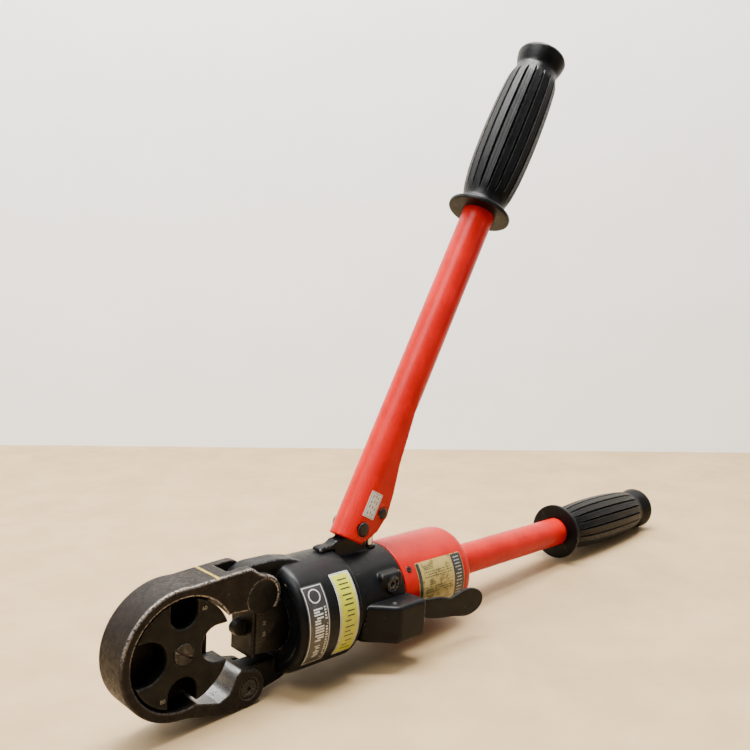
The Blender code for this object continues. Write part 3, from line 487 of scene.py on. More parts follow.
def bright_steel():
    s = Surface("bright_steel", metallic=1.0)
    lines = s.noise(0.5, 2.0, (1.0, 1.0, 0.06))
    tint = s.span(s.noise(6.0, 3.0), 0.40, 0.65)
    colour = s.blend(tint, (0.60, 0.60, 0.60), (0.46, 0.37, 0.28))
    colour = s.blend(s.span(lines, 0.4, 0.7, 0.0, 0.35), colour, (0.34, 0.33, 0.32))
    return s.done(colour, s.span(lines, 0.3, 0.7, 0.18, 0.34), lines, 0.15, 0.05)


def pin_steel():
    s = Surface("pin_steel", metallic=0.6, specular=0.35)
    broad = s.span(s.noise(3.0, 4.0), 0.35, 0.65)
    colour = s.blend(broad, (0.007, 0.006, 0.0055), (0.020, 0.0165, 0.014))
    worn = s.both(s.edges(0.512, 0.56), s.span(s.noise(1.0, 4.0), 0.4, 0.6, 0.05, 0.6))
    colour = s.blend(worn, colour, (0.22, 0.21, 0.20))
    rough = s.span(s.noise(1.2, 3.0), 0.3, 0.7, 0.28, 0.46)
    return s.done(colour, rough, s.noise(0.4, 2.0), 0.25, 0.08)


def black_paint():
    s = Surface("black_paint", coat=0.03, coat_roughness=0.22, specular=0.11)
    broad = s.span(s.noise(12.0, 4.0), 0.35, 0.65)
    peel = s.noise(0.9, 2.0)
    colour = s.blend(broad, (0.0010, 0.0012, 0.0016), (0.0024, 0.0027, 0.0032))
    dust = s.both(s.span(s.facing("Z"), 0.2, 0.95), s.span(s.noise(4.0, 5.0), 0.45, 0.75, 0.0, 0.25))
    colour = s.blend(dust, colour, (0.010, 0.009, 0.008))
    worn = s.both(s.edges(0.520, 0.560), s.span(s.noise(1.6, 5.0), 0.50, 0.62))
    scratch = s.both(s.span(s.noise(1.0, 3.0, (0.08, 1.0, 1.0)), 0.73, 0.77), 0.4)
    worn = s.either(worn, scratch)
    colour = s.blend(worn, colour, (0.24, 0.23, 0.22))
    rough = s.mix(worn, s.span(s.noise(3.0, 4.0), 0.3, 0.7, 0.32, 0.48), 0.35)
    return s.done(colour, rough, peel, 0.22, 0.12)


def red_paint(name, edge_wear):
    s = Surface(name, coat=0.04, coat_roughness=0.2, specular=0.14)
    broad = s.span(s.noise(22.0, 4.0), 0.35, 0.65)
    peel = s.noise(1.2, 2.0)
    colour = s.blend(broad, (0.34, 0.0012, 0.0004), (0.41, 0.0022, 0.0007))
    grime = s.both(s.span(s.noise(6.0, 5.0), 0.56, 0.78), 0.35)
    colour = s.blend(grime, colour, (0.17, 0.004, 0.002))
    scratch = s.span(s.noise(1.1, 4.0, (0.12, 1.0, 1.0)), 0.725, 0.745)
    chips = s.span(s.noise(2.4, 3.0), 0.745, 0.76)
    worn = s.either(scratch, chips)
    if edge_wear:
        worn = s.either(worn, s.both(s.edges(0.512, 0.55), s.span(s.noise(2.2, 6.0), 0.54, 0.62)))
    colour = s.blend(s.both(worn, 0.85), colour, (0.030, 0.008, 0.006))
    rough = s.mix(worn, s.span(s.noise(3.5, 4.0), 0.3, 0.7, 0.28, 0.42), 0.55)
    return s.done(colour, rough, s.sum("SUBTRACT", peel, s.both(worn, 1.5)), 0.22, 0.12)


def rubber(name="grip_rubber", dull=0.0):
    s = Surface(name, specular=0.12)
    broad = s.span(s.noise(14.0, 4.0), 0.35, 0.65)
    grain = s.noise(0.5, 3.0)
    colour = s.blend(broad, (0.0006, 0.0007, 0.0009), (0.0013, 0.0015, 0.0018))
    scuff = s.both(s.edges(0.510, 0.56), s.span(s.noise(2.0, 5.0), 0.42, 0.62, 0.1, 0.9))
    haze = s.both(s.span(s.noise(3.0, 5.0), 0.5, 0.8), 0.35)
    colour = s.blend(haze, colour, (0.004, 0.0043, 0.0046))
    colour = s.blend(scuff, colour, (0.030, 0.031, 0.032))
    rough = s.span(s.noise(2.2, 4.0), 0.3, 0.7, 0.30 + dull, 0.46 + dull)
    return s.done(colour, rough, grain, 0.20, 0.10)


def film(name, colour, stain, dirt=0.4, metallic=0.0, roughness=(0.30, 0.48)):
    """A printed label or plate, stained and scratched."""
    s = Surface(name, metallic=metallic, coat=0.15)
    patches = s.span(s.noise(5.0, 5.0), 0.48, 0.72, 0.0, dirt)
    specks = s.span(s.noise(0.9, 3.0), 0.68, 0.74, 0.0, dirt)
    shown = s.blend(s.either(patches, specks), colour, stain)
    rough = s.span(s.noise(2.0, 3.0), 0.3, 0.7, *roughness)
    return s.done(shown, rough, s.noise(1.5, 3.0), 0.12, 0.06)


def brass():
    s = Surface("brass", metallic=1.0)
    colour = s.blend(s.span(s.noise(3.0, 3.0), 0.4, 0.65), (0.58, 0.42, 0.18), (0.36, 0.25, 0.10))
    return s.done(colour, s.span(s.noise(1.0, 3.0), 0.3, 0.7, 0.25, 0.4), s.noise(0.6, 2.0), 0.15, 0.05)


CAST = cast_steel()
DIE = die_steel()
BRIGHT = bright_steel()
PIN = pin_steel()
BLACK = black_paint()
RED = red_paint("red_paint", 1.0)
RED_TUBE = red_paint("red_tube_paint", 0.0)
RUBBER = rubber()
SEAL = rubber("seal_rubber", 0.15)
BRASS = brass()
YELLOW = film("yellow_film", (0.36, 0.37, 0.003), (0.16, 0.15, 0.006))
WHITE = film("white_film", (0.50, 0.50, 0.47), (0.24, 0.21, 0.16))
LABEL_BLACK = film("black_film", (0.0050, 0.0050, 0.0055), (0.03, 0.026, 0.022), 0.5)
INK = film("ink", (0.008, 0.008, 0.008), (0.05, 0.045, 0.035), 0.3)
PLATE = film("plate_metal", (0.42, 0.33, 0.10), (0.07, 0.042, 0.016), 0.75, 0.35, (0.30, 0.48))
PALE_MARK = film("pale_mark", (0.15, 0.125, 0.095), (0.05, 0.036, 0.026), 0.5)

SLOT_SURFACES = {
    "dark_cast_steel": CAST, "die_steel": DIE, "bright_steel": BRIGHT, "pin_steel": PIN,
    "black_paint": BLACK, "red_paint": RED, "black_rubber": RUBBER, "seal_rubber": SEAL,
    "yellow_label": YELLOW, "black_label": LABEL_BLACK, "plate_metal": PLATE, "white_label": WHITE,
    "valve_brass": BRASS,
}


def dress_frame():
    """Every node of the frame takes the procedural material of its own slot."""
    for node in NODES.values():
        for index, slot in enumerate(node.material_slots):
            base = slot.material.name.split(".")[0] if slot.material else ""
            node.material_slots[index].material = SLOT_SURFACES.get(base, PIN)


# ---------------------------------------------------------------- head
YOKE_HALF = 14.0
DETENT = (-14.1, 14.1)
CHEEK = (57.0, 22.4)
UPPER_PIN = (56.0, 27.4)
LOWER_PIN = (48.2, -36.6)


def across(name, place, radius, low, high, steps=64):
    """A round cutter along Y at an (x, z) place."""
    return rod(name, radius, low, high, "Y", (place[0], 0.0, place[1]), steps)


def build_yoke():
    top = rounded([(6, 41.2), (30, 42.8), (46, 43.6), (50, 42.2), (54, 38.6)], 2.0)
    outline = top + arc(CHEEK, 14.6, 84, -40, 24) + [(40, 12), (40, -22)]
    outline += arc(LOWER_PIN, 12.5, 70, -120, 26) + rounded([(38, -49.4), (14, -44.7), (4, -42.0)], 4.0)
    outline += arc((0.0, 0.0), 41.4, 268, 92, 64)
    yoke = prism("yoke_forging", outline, -YOKE_HALF, YOKE_HALF)
    bevel(yoke, 1.8, 3, 60)
    bay = rounded([(26, -39), (34, -35.5), (36.5, -29), (39, -24), (46, -21)], 3.0)
    bay += [(80, -21), (80, 12)]
    lip = rounded([(53, 15.4), (33.8, 17.0), (31.2, 16.3)], 1.2)
    web = rounded([(31.2, 16.3), (27, 22.4), (27, -21), (20, -29.5), (17.5, -36)], 2.5)[1:]
    front_bay = prism("front_bay", [(9, -34)] + bay + lip + [(20, 16.3)], -16, 4.0)
    throat = prism("throat", bay + lip + web, -16, 16)
    passage = rod("passage", 20.5, 28, 90, "X", (0, 0, 0), 80)
    trim(passage, block("ram_room", (20, -12.3, -30), (95, 12.3, 30)))
    upper_slot = prism("upper_slot", [(32.5, 60), (32.5, 12), (80, 12), (80, 60)], -7.3, 7.3)
    lower_outline = arc(LOWER_PIN, 12.6, 90, 270, 20) + [(80, -60), (80, -20)]
    lower_slot = prism("lower_slot", lower_outline, -7.3, 7.3)
    cut(
        yoke, across("pocket", (0, 0), 35.2, -16, 4.0, 128),
        front_bay, throat, passage, upper_slot, lower_slot,
        across("upper_hole", UPPER_PIN, 5.3, -12, 12), across("lower_hole", LOWER_PIN, 6.8, -16, 16),
        across("screw_hole", (0, 0), 4.3, 0, 16), across("detent_hole", DETENT, 2.3, 3, 10.5, 24),
        across("front_seat", CHEEK, 11.5, -16, -12.3), across("rear_seat", CHEEK, 11.5, 12.3, 16),
    )
    forge(yoke, 0.6, 3)
    place(yoke, "tool_body", CAST, "dark_cast_steel", "yoke")
    for side, node in ((-1, "front_pin_cap"), (1, "rear_pin_cap")):
        outer = side * 14.0
        profile = rounded([(side * 12.6, 0.0), (side * 12.6, 11.2), (outer, 11.2), (outer, 0.0)], 0.5)
        cap = lathe(node + "_disc", profile, "Y", (CHEEK[0], 0, CHEEK[1]), 72)
        place(cap, "tool_body", DIE, "dark_cast_steel", node)
    ends = rounded([(-13.8, 0.0), (-13.8, 6.5), (13.8, 6.5), (13.8, 0.0)], 0.9)
    pin = lathe("lower_hinge_pin", ends, "Y", (LOWER_PIN[0], 0, LOWER_PIN[1]), 64)
    cut(pin, rod("centre_mark", 1.4, -15, -13.2, "Y", (LOWER_PIN[0], 0, LOWER_PIN[1]), 24))
    place(pin, "tool_body", DIE, "pin_steel", "yoke_lower_pin")


GROOVES = {0: 12.0, 90: 9.1, 180: 13.4, 270: 9.8}
GROOVE_CENTRE = 24.8
DIE_FRONT = -13.0
DIE_BACK = 3.7


def u_shape(radius, angle):
    turn = math.radians(angle)
    outline = arc((0.0, 0.0), radius, 90, 270, 32) + [(20.0, -radius), (20.0, radius)]
    moved = []
    for x, z in outline:
        x += GROOVE_CENTRE
        moved.append((x * math.cos(turn) - z * math.sin(turn), x * math.sin(turn) + z * math.cos(turn)))
    return moved


def number(name, text, size, place_of, axes, thickness=0.12):
    """Raised size number; axes are its reading direction and its upward direction."""
    curve = bpy.data.curves.new(name, "FONT")
    curve.body = text
    curve.size = size * MM
    curve.extrude = thickness * MM
    curve.align_x = "CENTER"
    curve.align_y = "CENTER"
    guide = bpy.data.objects.new(name + "_guide", curve)
    bpy.context.scene.collection.objects.link(guide)
    bpy.context.view_layer.update()
    mesh = bpy.data.meshes.new_from_object(guide.evaluated_get(bpy.context.evaluated_depsgraph_get()))
    bpy.data.objects.remove(guide, do_unlink=True)
    reading, upward = (Vector(item).normalized() for item in axes)
    mesh.transform(frame_matrix(Vector(place_of) * MM, reading, upward, reading.cross(upward)))
    made = bpy.data.objects.new(name, mesh)
    bpy.context.scene.collection.objects.link(made)
    return made


def build_die():
    profile = rounded([(DIE_BACK, 7.0), (DIE_BACK, 33.6), (DIE_FRONT, 33.6), (DIE_FRONT, 7.0)], 0.7)
    die = lathe("revolving_die", profile, "Y", steps=144)
    cutters = []
    for angle, radius in GROOVES.items():
        cutters.append(prism(f"groove_{angle}", u_shape(radius, angle), -20, 20))
        cutters.append(prism(f"groove_lip_{angle}", u_shape(radius + 0.8, angle), -20, DIE_FRONT + 0.7))
    cut(die, *cutters)
    forge(die, 0.5, 2)
    place(die, "female_die", DIE, "die_steel", "female_die_disc")
    face = DIE_FRONT - 0.05
    marks = [
        number("size_number_a", "60", 3.6, (13.6, face, 25.4), ((1, 0, 0), (0, 0, 1))),
        number("size_number_b", "80", 3.6, (-13.6, face, -25.6), ((1, 0, 0), (0, 0, 1))),
    ]
    place(join("die_size_numbers", marks), "female_die", PALE_MARK, "die_steel")
    head = rounded([
        (DIE_FRONT - 0.6, 0.0), (DIE_FRONT - 0.6, 6.6), (DIE_BACK, 6.7), (DIE_BACK, 4.0),
        (13.6, 4.0), (13.6, 0.0),
    ], 0.5)
    screw = lathe("slotted_pivot_screw", head, "Y", steps=80)
    slot = block("slot", (-9, -20, -0.75), (9, -12.0, 0.75))
    slot.data.transform(Matrix.Rotation(math.radians(-35), 4, "Y").inverted())
    cut(screw, slot)
    bevel(screw, 0.18, 2, 40)
    place(screw, "tool_body", PIN, "bright_steel", "die_pivot_screw")


def build_cylinder():
    shoulder = 6.5
    front = 72.8
    profile = [(124.0, 0.0)] + rounded([(124.0, 20.0), (124.0, 38.0), (110.0, 38.0)], 1.6)
    profile += arc((front + shoulder, 38.0 - shoulder), shoulder, 90, 180, 14)
    profile += [(front, 31.0), (front + 0.7, 30.4), (front + 0.7, 0.0)]
    body = lathe("cylinder_casting", profile, steps=144)
    upper_outline = [(95, 24), (95, 36.5), (86, 39.8), (74, 42.2)]
    upper_outline += arc((55, 25), 17.6, 90, 230, 30) + [(75, 12)]
    lower_outline = arc(LOWER_PIN, 11.6, 80, 275, 30)
    lower_outline += [(78, -42.0), (92, -36.5), (92, -25), (76, -25)]
    tongues = [prism("upper_tongue", upper_outline, -7, 7), prism("lower_tongue", lower_outline, -7, 7)]
    for tongue in tongues:
        bevel(tongue, 1.0, 2, 50)
    fuse(body, *tongues)
    cut(
        body, rod("passage", 20.5, 28, 77, "X"), rod("bore", 20.3, 70, 116.5, "X"),
        across("upper_hole", UPPER_PIN, 5.3, -9, 9), across("lower_hole", LOWER_PIN, 6.8, -9, 9),
    )
    forge(body, 0.7, 3)
    place(body, "tool_body", BLACK, "black_paint", "cylinder_body")


def build_ram():
    profile = rounded([(115.5, 0.0), (115.5, 20.0), (53.5, 20.0), (53.5, 0.0)], 1.6)
    ram = lathe("ram_piston", profile, steps=112)
    flats = [
        block("flat_front", (52, -26, -25), (83, -12, 25)),
        block("flat_rear", (52, 12, -25), (83, 26, 25)),
    ]
    cut(ram, rod("ram_bore", 10.5, 66, 118, "X"), *flats)
    bevel(ram, 0.5, 2, 40)
    place(ram, "ram", DIE, "die_steel", "ram")
    lower = [(49.4, -5.1), (52.0, -6.4)]
    outline = arc((47.4, 0.0), 4.7, 100, 260, 24) + lower + [(x, -z) for x, z in lower[::-1]]
    punch = prism("punch_wedge", outline, -3.8, 3.8)
    bevel(punch, 0.7, 3, 40)
    base = block("punch_base", (50.8, -11.9, -18.5), (53.2, 11.9, 15.0))
    bevel(base, 0.6, 3, 40)
    fuse(punch, base)
    forge(punch, 0.35, 3)
    place(punch, "ram", DIE, "die_steel", "punch")
    marks = [
        number("ram_number_a", "30", 3.2, (60.0, -12.05, 3.6), ((0.1, 0, 1), (-1, 0, 0.1))),
        number("ram_number_b", "50", 3.2, (60.0, -12.05, -3.6), ((0.1, 0, 1), (-1, 0, 0.1))),
    ]
    place(join("ram_numbers", marks), "ram", PALE_MARK, "die_steel")


# ---------------------------------------------------------------- pump body, plunger and release
PUMP_FRONT = 124.3
PUMP_REAR = 171.3
BRACKET_HALF = 4.8
PLUNGER_X = 162.0
PLUNGER_PIN = (162.6, 60.3)
EYE = (163.7, 60.3)
EYE_REACH = 1.4
RELIEF = (157.0, 14.0)
LEVER_PIN = (150, -42)


def build_pump():
    profile = rounded([
        (184.0, 0.0), (184.0, 29.7), (PUMP_REAR, 29.7), (PUMP_REAR, 33.0),
        (PUMP_FRONT, 33.0), (PUMP_FRONT, 0.0),
    ], 0.6)
    body = lathe("pump_casting", profile, steps=144)
    outline = [(124.6, 27)]
    outline += rounded([(124.6, 38.0), (112.5, 38.0), (111.5, 39.6), (112.2, 41.0), (116.0, 41.6)], 0.8)
    outline += arc((120.0, 50.0), 8.6, -100, -42, 12) + [(131.5, 44.8)]
    outline += arc((PIVOT.x, PIVOT.z), 7.6, 190, -40, 28) + [(155.8, 40), (156.2, 27)]
    bracket = prism("bracket", outline, -BRACKET_HALF, BRACKET_HALF)
    bevel(bracket, 0.9, 3, 50)
    pad = block("side_pad", (147.0, -31.6, 5.4), (168.0, -20.0, 22.0))
    bevel(pad, 2.4, 4, 50)
    rim = rounded([(-18.0, 0.0), (-18.0, 5.9), (-33.0, 5.9), (-33.0, 0.0)], 0.9)
    side_boss = lathe("side_boss", rim, "Y", (RELIEF[0], 0, RELIEF[1]), 64)
    fuse(body, bracket, pad, side_boss)
    cut(
        body, rod("saddle", 38.35, 100, PUMP_FRONT, "X", (0, 0, 0), 128),
        rod("plunger_bore", 3.8, 0, 50, "Z", (PLUNGER_X, 0, 0), 40),
        rod("gland_seat", 5.3, 27.5, 38, "Z", (PLUNGER_X, 0, 0)),
        across("pivot_hole", (PIVOT.x, PIVOT.z), 4.3, -12, 12),
        across("relief_hole", RELIEF, 4.3, -40, -17), across("valve_hole", (164, -3), 2.8, -40, -7),
    )
    forge(body, 0.7, 4)
    place(body, "tool_body", BLACK, "black_paint", "pump_body")
    gland = rounded([(34.6, 3.9), (34.6, 4.6), (34.2, 5.0), (30.6, 5.0), (30.6, 3.9)], 0.3)
    ring = lathe("gland_ring", gland, "Z", (PLUNGER_X, 0, 0), 64)
    place(ring, "tool_body", PIN, "pin_steel", "plunger_gland")
    shank = rounded([(20, 0.0), (20, 3.5), (56, 3.5), (56, 0.0)], 0.5)
    stem = lathe("plunger_stem", shank, "Z", (PLUNGER_X, 0, 0), 64)
    eye = prism("eye", [(158.6, 54.4)] + arc(EYE, 6.4, 190, -10, 30) + [(165.4, 54.4)], -2.6, 2.6)
    bevel(eye, 0.5, 2, 50)
    fuse(stem, eye)
    rear_end = arc((EYE[0] + EYE_REACH, EYE[1]), 3.3, -90, 90, 16)
    front_end = arc((EYE[0] - EYE_REACH, EYE[1]), 3.3, 90, 270, 16)
    cut(stem, prism("slot", rear_end + front_end, -5, 5))
    place(stem, "plunger", BRIGHT, "bright_steel", "plunger")
    plug = rounded([(-32.2, 0.0), (-32.2, 4.0), (-24.0, 4.0), (-24.0, 0.0)], 0.5)
    relief = lathe("relief_cap", plug, "Y", (RELIEF[0], 0, RELIEF[1]), 48)
    hexagon = [(RELIEF[0] + x, RELIEF[1] + z) for x, z in arc((0, 0), 2.1, 0, 300, 5)]
    cut(relief, prism("socket", hexagon, -40, -29))
    place(relief, "tool_body", PIN, "pin_steel", "relief_plug")


def turned(spot, degrees, axis):
    """A turn about an axis of the object, then a move to a spot in mm."""
    return Matrix.Translation(Vector(spot) * MM) @ Matrix.Rotation(math.radians(degrees), 4, axis)


def build_release():
    guard = block("guard_casting", (128.5, -50.0, -22.0), (175.0, -20.0, 5.0))
    slope = block("guard_slope", (-60, -40, -40), (60, 0, 40))
    slope.data.transform(turned((128.5, -31.0, -10.0), -45, "Z"))
    cut(guard, slope)
    bevel(guard, 3.0, 5, 30)
    cut(
        guard, block("hollow", (146.5, -47.4, -8.6), (180, -36.5, 3.2)),
        rod("seat", 33.3, 120, 200, "X", (0, 0, 0), 128),
        rod("pin_hole", 1.8, -12, 8, "Z", (*LEVER_PIN, 0), 32),
        across("valve_hole", (164, -3), 2.8, -40, -18),
    )
    forge(guard, 0.5, 4)
    place(guard, "tool_body", BLACK, "black_paint", "release_guard")
    lower = [(-2.6, -3.2), (26, -4.6), (30, -10.0), (43, -12.6), (56, -14.0)]
    paddle = [(71 + x * 1.55, -6 + z) for x, z in arc((0, 0), 10.5, -110, 110, 40)]
    upper = [(54, 0.5), (44, 3.4), (25, 5.0), (-2.6, 3.2)]
    outline = rounded(lower, 2.5) + paddle + rounded(upper, 6.0)
    arm = prism("release_arm", outline, -1.6, 1.6)
    bevel(arm, 0.9, 3, 50)
    knuckle = rod("knuckle", 3.0, -3.2, 3.2, "Z", (0, 0, 0), 40)
    fuse(arm, knuckle)
    cut(arm, rod("hole", 1.8, -9, 9, "Z", (0, 0, 0), 32))
    forge(arm, 0.4, 2)
    arm.data.transform(turned((*LEVER_PIN, -2.4), -5.6, "Z"))
    place(arm, "release_lever", BLACK, "black_paint", "release_lever")


# ---------------------------------------------------------------- movable handle
TUBE_RADIUS = 12.7
CHANNEL_INNER = 9.7
HEEL_END = -10.0
SLOT_END = 104.0
FLANGE = 261.9


def build_handle():
    end = FLANGE + 20.0
    profile = [(end, 0.0), (end, TUBE_RADIUS)]
    profile += rounded([(HEEL_END, TUBE_RADIUS), (HEEL_END, 0.0)], 0.4)
    handle = lathe("handle_lever", profile, steps=128)
    pin = to_handle(PLUNGER_PIN)
    heel = rounded([(-10, 0.5), (-10, -1), (-9.5, -3.8), (-6.5, -8), (-2.6, -11.1), (3.5, -15.5)], 2.5)
    rear = rounded([(26, -17.5), (33, -16.5), (47, -13.0), (54, -11.1), (62, -10.0), (77, -8.0),
                    (104, -3.8), (112, -1.5), (112, 0.5)], 5.0)
    plates = prism("side_plates", heel + arc(pin, 6.6, 235, 290, 10) + rear, -TUBE_RADIUS, TUBE_RADIUS)
    fuse(handle, plates)
    start = HEEL_END - 20.0
    straight = SLOT_END - CHANNEL_INNER
    cut(
        handle, rod("channel", CHANNEL_INNER, start, SLOT_END, "X", (0, 0, 0), 96),
        block("slot", (start, -CHANNEL_INNER, -40), (straight, CHANNEL_INNER, 0)),
        rod("slot_end", CHANNEL_INNER, -40, 0, "Z", (straight, 0, 0), 96),
        across("pivot_hole", (0, 0), 4.3, -20, 20), across("plunger_hole", pin, 3.3, -20, 20),
    )
    forge(handle, 0.8, 3)
    place(handle, "pump_handle", RED, "red_paint", "movable_handle", matrix=HANDLE)
    out = -TUBE_RADIUS
    for node, spot, radius, head in (
        ("handle_pivot_pin", (0, 0), 4.0, 5.3),
        ("plunger_pin", pin, 3.0, 4.0),
    ):
        profile = [(15.1, 0.0), (15.1, radius), (out - 0.3, radius)]
        profile += [(out - 0.3, head), (out - 0.9, head)]
        profile = rounded(profile + [(out - 1.7, head * 0.72), (out - 1.9, 0.0)], 0.7)
        made = lathe(node + "_riveted", profile, "Y", (spot[0], 0, spot[1]), 64)
        place(made, "pump_handle", PIN, "pin_steel", node, matrix=HANDLE)


def to_handle(point):
    """An (x, z) place of the tool frame in the handle's own frame."""
    x, z = point[0] - PIVOT.x, point[1] - PIVOT.z
    cosine, sine = math.cos(HANDLE_ANGLE), math.sin(HANDLE_ANGLE)
    return (x * cosine + z * sine, z * cosine - x * sine)


# ---------------------------------------------------------------- grips and tubes
GRIP_SHAPE = [
    (5.6, 19.6), (7.5, 18.0), (12, 17.6), (22, 19.4), (40, 21.3), (70, 22.2), (100, 21.6), (118, 20.5),
    (127, 19.4), (133, 17.9), (137, 17.1), (141, 18.3), (145, 19.5),
]
FLUTES = 18
GRIP_STEPS = FLUTES * 14


def smooth_curve(points, spacing):
    """Catmull-Rom points through (place, value) pairs."""
    result = []
    for index in range(len(points) - 1):
        a = Vector(points[max(index - 1, 0)])
        b = Vector(points[index])
        c = Vector(points[index + 1])
        d = Vector(points[min(index + 2, len(points) - 1)])
        count = max(1, round((c - b).x / spacing))
        for step in range(count):
            t = step / count
            square = (2 * a - 5 * b + 4 * c - d) * t ** 2
            cube = (3 * b - a - 3 * c + d) * t ** 3
            result.append(tuple(0.5 * (2 * b + (c - a) * t + square + cube)))
    result.append(tuple(points[-1]))
    return result


def ease(value, low, high):
    t = min(1.0, max(0.0, (value - low) / (high - low)))
    return t * t * (3 - 2 * t)


def grip_profile():
    flange = [(0.4, 13.2), (0.0, 16.0), (0.0, 25.1), (3.2, 25.1), (4.2, 22.4), (5.6, 19.6)]
    rim = [(145, 19.5), (149.8, 20.4), (152.4, 19.2), (151.9, 15.5), (151.5, 0.0)]
    middle = smooth_curve(GRIP_SHAPE, 1.4)
    return rounded(flange, 1.0, steps=5)[:-1] + middle + rounded(rim, 1.2, steps=5)[1:]


def fluted(start):
    def radius(height, value, angle, _):
        along = height - start
        if not 8.0 < along < 136.0 or value < 15.0:
            return value
        phase = angle * FLUTES / (2 * math.pi) % 1.0
        away = abs(phase - 0.5) * 2.0
        depth = ease(along, 12.0, 22.0) * ease(135.0 - along, 4.0, 10.0)
        width = 0.20 * (0.55 + 0.45 * depth)
        groove = 1.0 - ease(away, width * 0.35, width)
        ridge = math.exp(-((away - width - 0.10) / 0.07) ** 2)
        crown = 0.35 * (1.0 - ((away - 0.6) / 0.4) ** 2)
        return value + depth * (0.25 + crown * 0.5 + ridge * 0.22 - groove * 1.7)
    return radius


def build_grips():
    for name, start, body, node, matrix in (
        ("rear_fluted_grip", 409.6, "tool_body", "fixed_grip", TOOL),
        ("pump_fluted_grip", FLANGE, "pump_handle", "movable_grip", HANDLE),
    ):
        outer = [(start + along, radius) for along, radius in grip_profile()]
        outer.append((start + 151.4, 0.0))
        grip = lathe(name, outer, "X", (0, 0, 0), GRIP_STEPS, fluted(start), 60)
        place(grip, body, RUBBER, "black_rubber", node, matrix=matrix)


def build_reservoir():
    front = 171.6
    profile = [(front, 29.9)] + rounded([(front, 33.0), (181.0, 33.0)], 0.5)
    profile[1:2] = [(front, 32.5), (front + 0.15, 32.85), (front + 0.5, 33.0)]
    profile += arc((239.0, 22.0), 11.0, 90, 0, 24)
    profile += rounded([(250.6, 20.5), (254.0, 15.6), (256.0, 13.0), (256.0, 12.9)], 1.5)
    profile += [(247.0, 12.9), (245.0, 20.0), (236.0, 29.9)]
    vessel = lathe("oil_vessel", profile, steps=144)
    lean = turned((179, 0, 0), 55, "X")
    hole = rod("set_hole", 2.7, 28, 40, "Z", (0, 0, 0), 40)
    hole.data.transform(lean)
    cut(vessel, hole)
    vessel.data.polygons.foreach_set("use_smooth", [True] * len(vessel.data.polygons))
    vessel.data.set_sharp_from_angle(angle=math.radians(35))
    place(vessel, "tool_body", RED_TUBE, "red_paint", "reservoir_tube")
    shape = [(30.4, 0.0), (30.4, 2.4), (33.0, 2.4), (33.3, 1.3), (32.6, 1.1), (32.6, 0.0)]
    screw = lathe("set_screw", rounded(shape, 0.25), "Z", (0, 0, 0), 40)
    screw.data.transform(lean)
    place(screw, "tool_body", PIN, "pin_steel", "reservoir_set_screw")
    tube = lathe("rear_handle_tube", [(247, 10.7), (247, 12.7), (549, 12.7), (549, 10.7)], steps=112)
    place(tube, "tool_body", RED_TUBE, "red_paint", "fixed_handle_tube")


# ---------------------------------------------------------------- labels
def on_cylinder(radius, lift):
    def put(along, around):
        angle = around / radius
        reach = radius + lift
        return Vector((along, -reach * math.sin(angle), reach * math.cos(angle)))
    return put


def on_handle(lift):
    """Handle's flat side plate and, above its fold, its round front."""
    def put(along, over):
        reach = TUBE_RADIUS + lift
        angle = max(0.0, over) / TUBE_RADIUS
        return Vector((along, -reach * math.cos(angle), min(0.0, over) + reach * math.sin(angle)))
    return put


def patches(name, rectangles, put, step=1.5):
    """Thin patches laid on a curved surface; each is (start, end, from, to) in mm."""
    work = bmesh.new()
    for start, end, low, high in rectangles:
        count = max(1, math.ceil((high - low) / step))
        rows = []
        for index in range(count + 1):
            around = low + (high - low) * index / count
            rows.append([work.verts.new(put(x, around) * MM) for x in (start, end)])
        for one, two in zip(rows, rows[1:]):
            work.faces.new((one[0], one[1], two[1], two[0]))
    mesh = bpy.data.meshes.new(name)
    work.to_mesh(mesh)
    work.free()
    obj = bpy.data.objects.new(name, mesh)
    bpy.context.scene.collection.objects.link(obj)
    return obj


def slab(name, start, end, low, high, lower, upper, corner=1.0):
    """A thin closed label with rounded corners between two surfaces."""
    outline = rounded([(start, low), (end, low), (end, high), (start, high)], corner, True)
    dense = []
    for index, one in enumerate(outline):
        two = outline[(index + 1) % len(outline)]
        count = max(1, math.ceil((Vector(two) - Vector(one)).length / 1.5))
        for step in range(count):
            across_by, up_by = (two[0] - one[0]) * step / count, (two[1] - one[1]) * step / count
            dense.append((one[0] + across_by, one[1] + up_by))
    work = bmesh.new()
    rings = []
    for put in (lower, upper):
        rings.append([work.verts.new(put(x, y) * MM) for x, y in dense])
    count = len(dense)
    for index in range(count):
        after = (index + 1) % count
        work.faces.new((rings[0][index], rings[0][after], rings[1][after], rings[1][index]))
    order = sorted(range(count), key=lambda index: dense[index][1])
    middle = (start + end) / 2
    for ring in rings:
        near = [ring[index] for index in order if dense[index][0] < middle]
        far = [ring[index] for index in order if dense[index][0] >= middle]
        bridge(work, near, far)
    return new_object(name, work, True, 40)


def bridge(work, near, far):
    """Triangles between two rows of vertices that both run the same way."""
    one = two = 0
    while one < len(near) - 1 or two < len(far) - 1:
        forward = two >= len(far) - 1 or (
            one < len(near) - 1 and one / max(1, len(near) - 1) <= two / max(1, len(far) - 1))
        if forward:
            work.faces.new((near[one], near[one + 1], far[two]))
            one += 1
        else:
            work.faces.new((near[one], far[two + 1], far[two]))
            two += 1


def frame_lines(start, end, low, high, width):
    return [
        (start, end, low, low + width), (start, end, high - width, high),
        (start, start + width, low, high), (end - width, end, low, high),
    ]


def ring_patches(centre, radius, width):
    """A ring put together from small patches."""
    made = []
    for step in range(28):
        angle = 2 * math.pi * step / 28
        x, y = centre[0] + radius * math.cos(angle), centre[1] + radius * math.sin(angle)
        made.append((x - width / 2, x + width / 2, y - width / 2, y + width / 2))
    return made


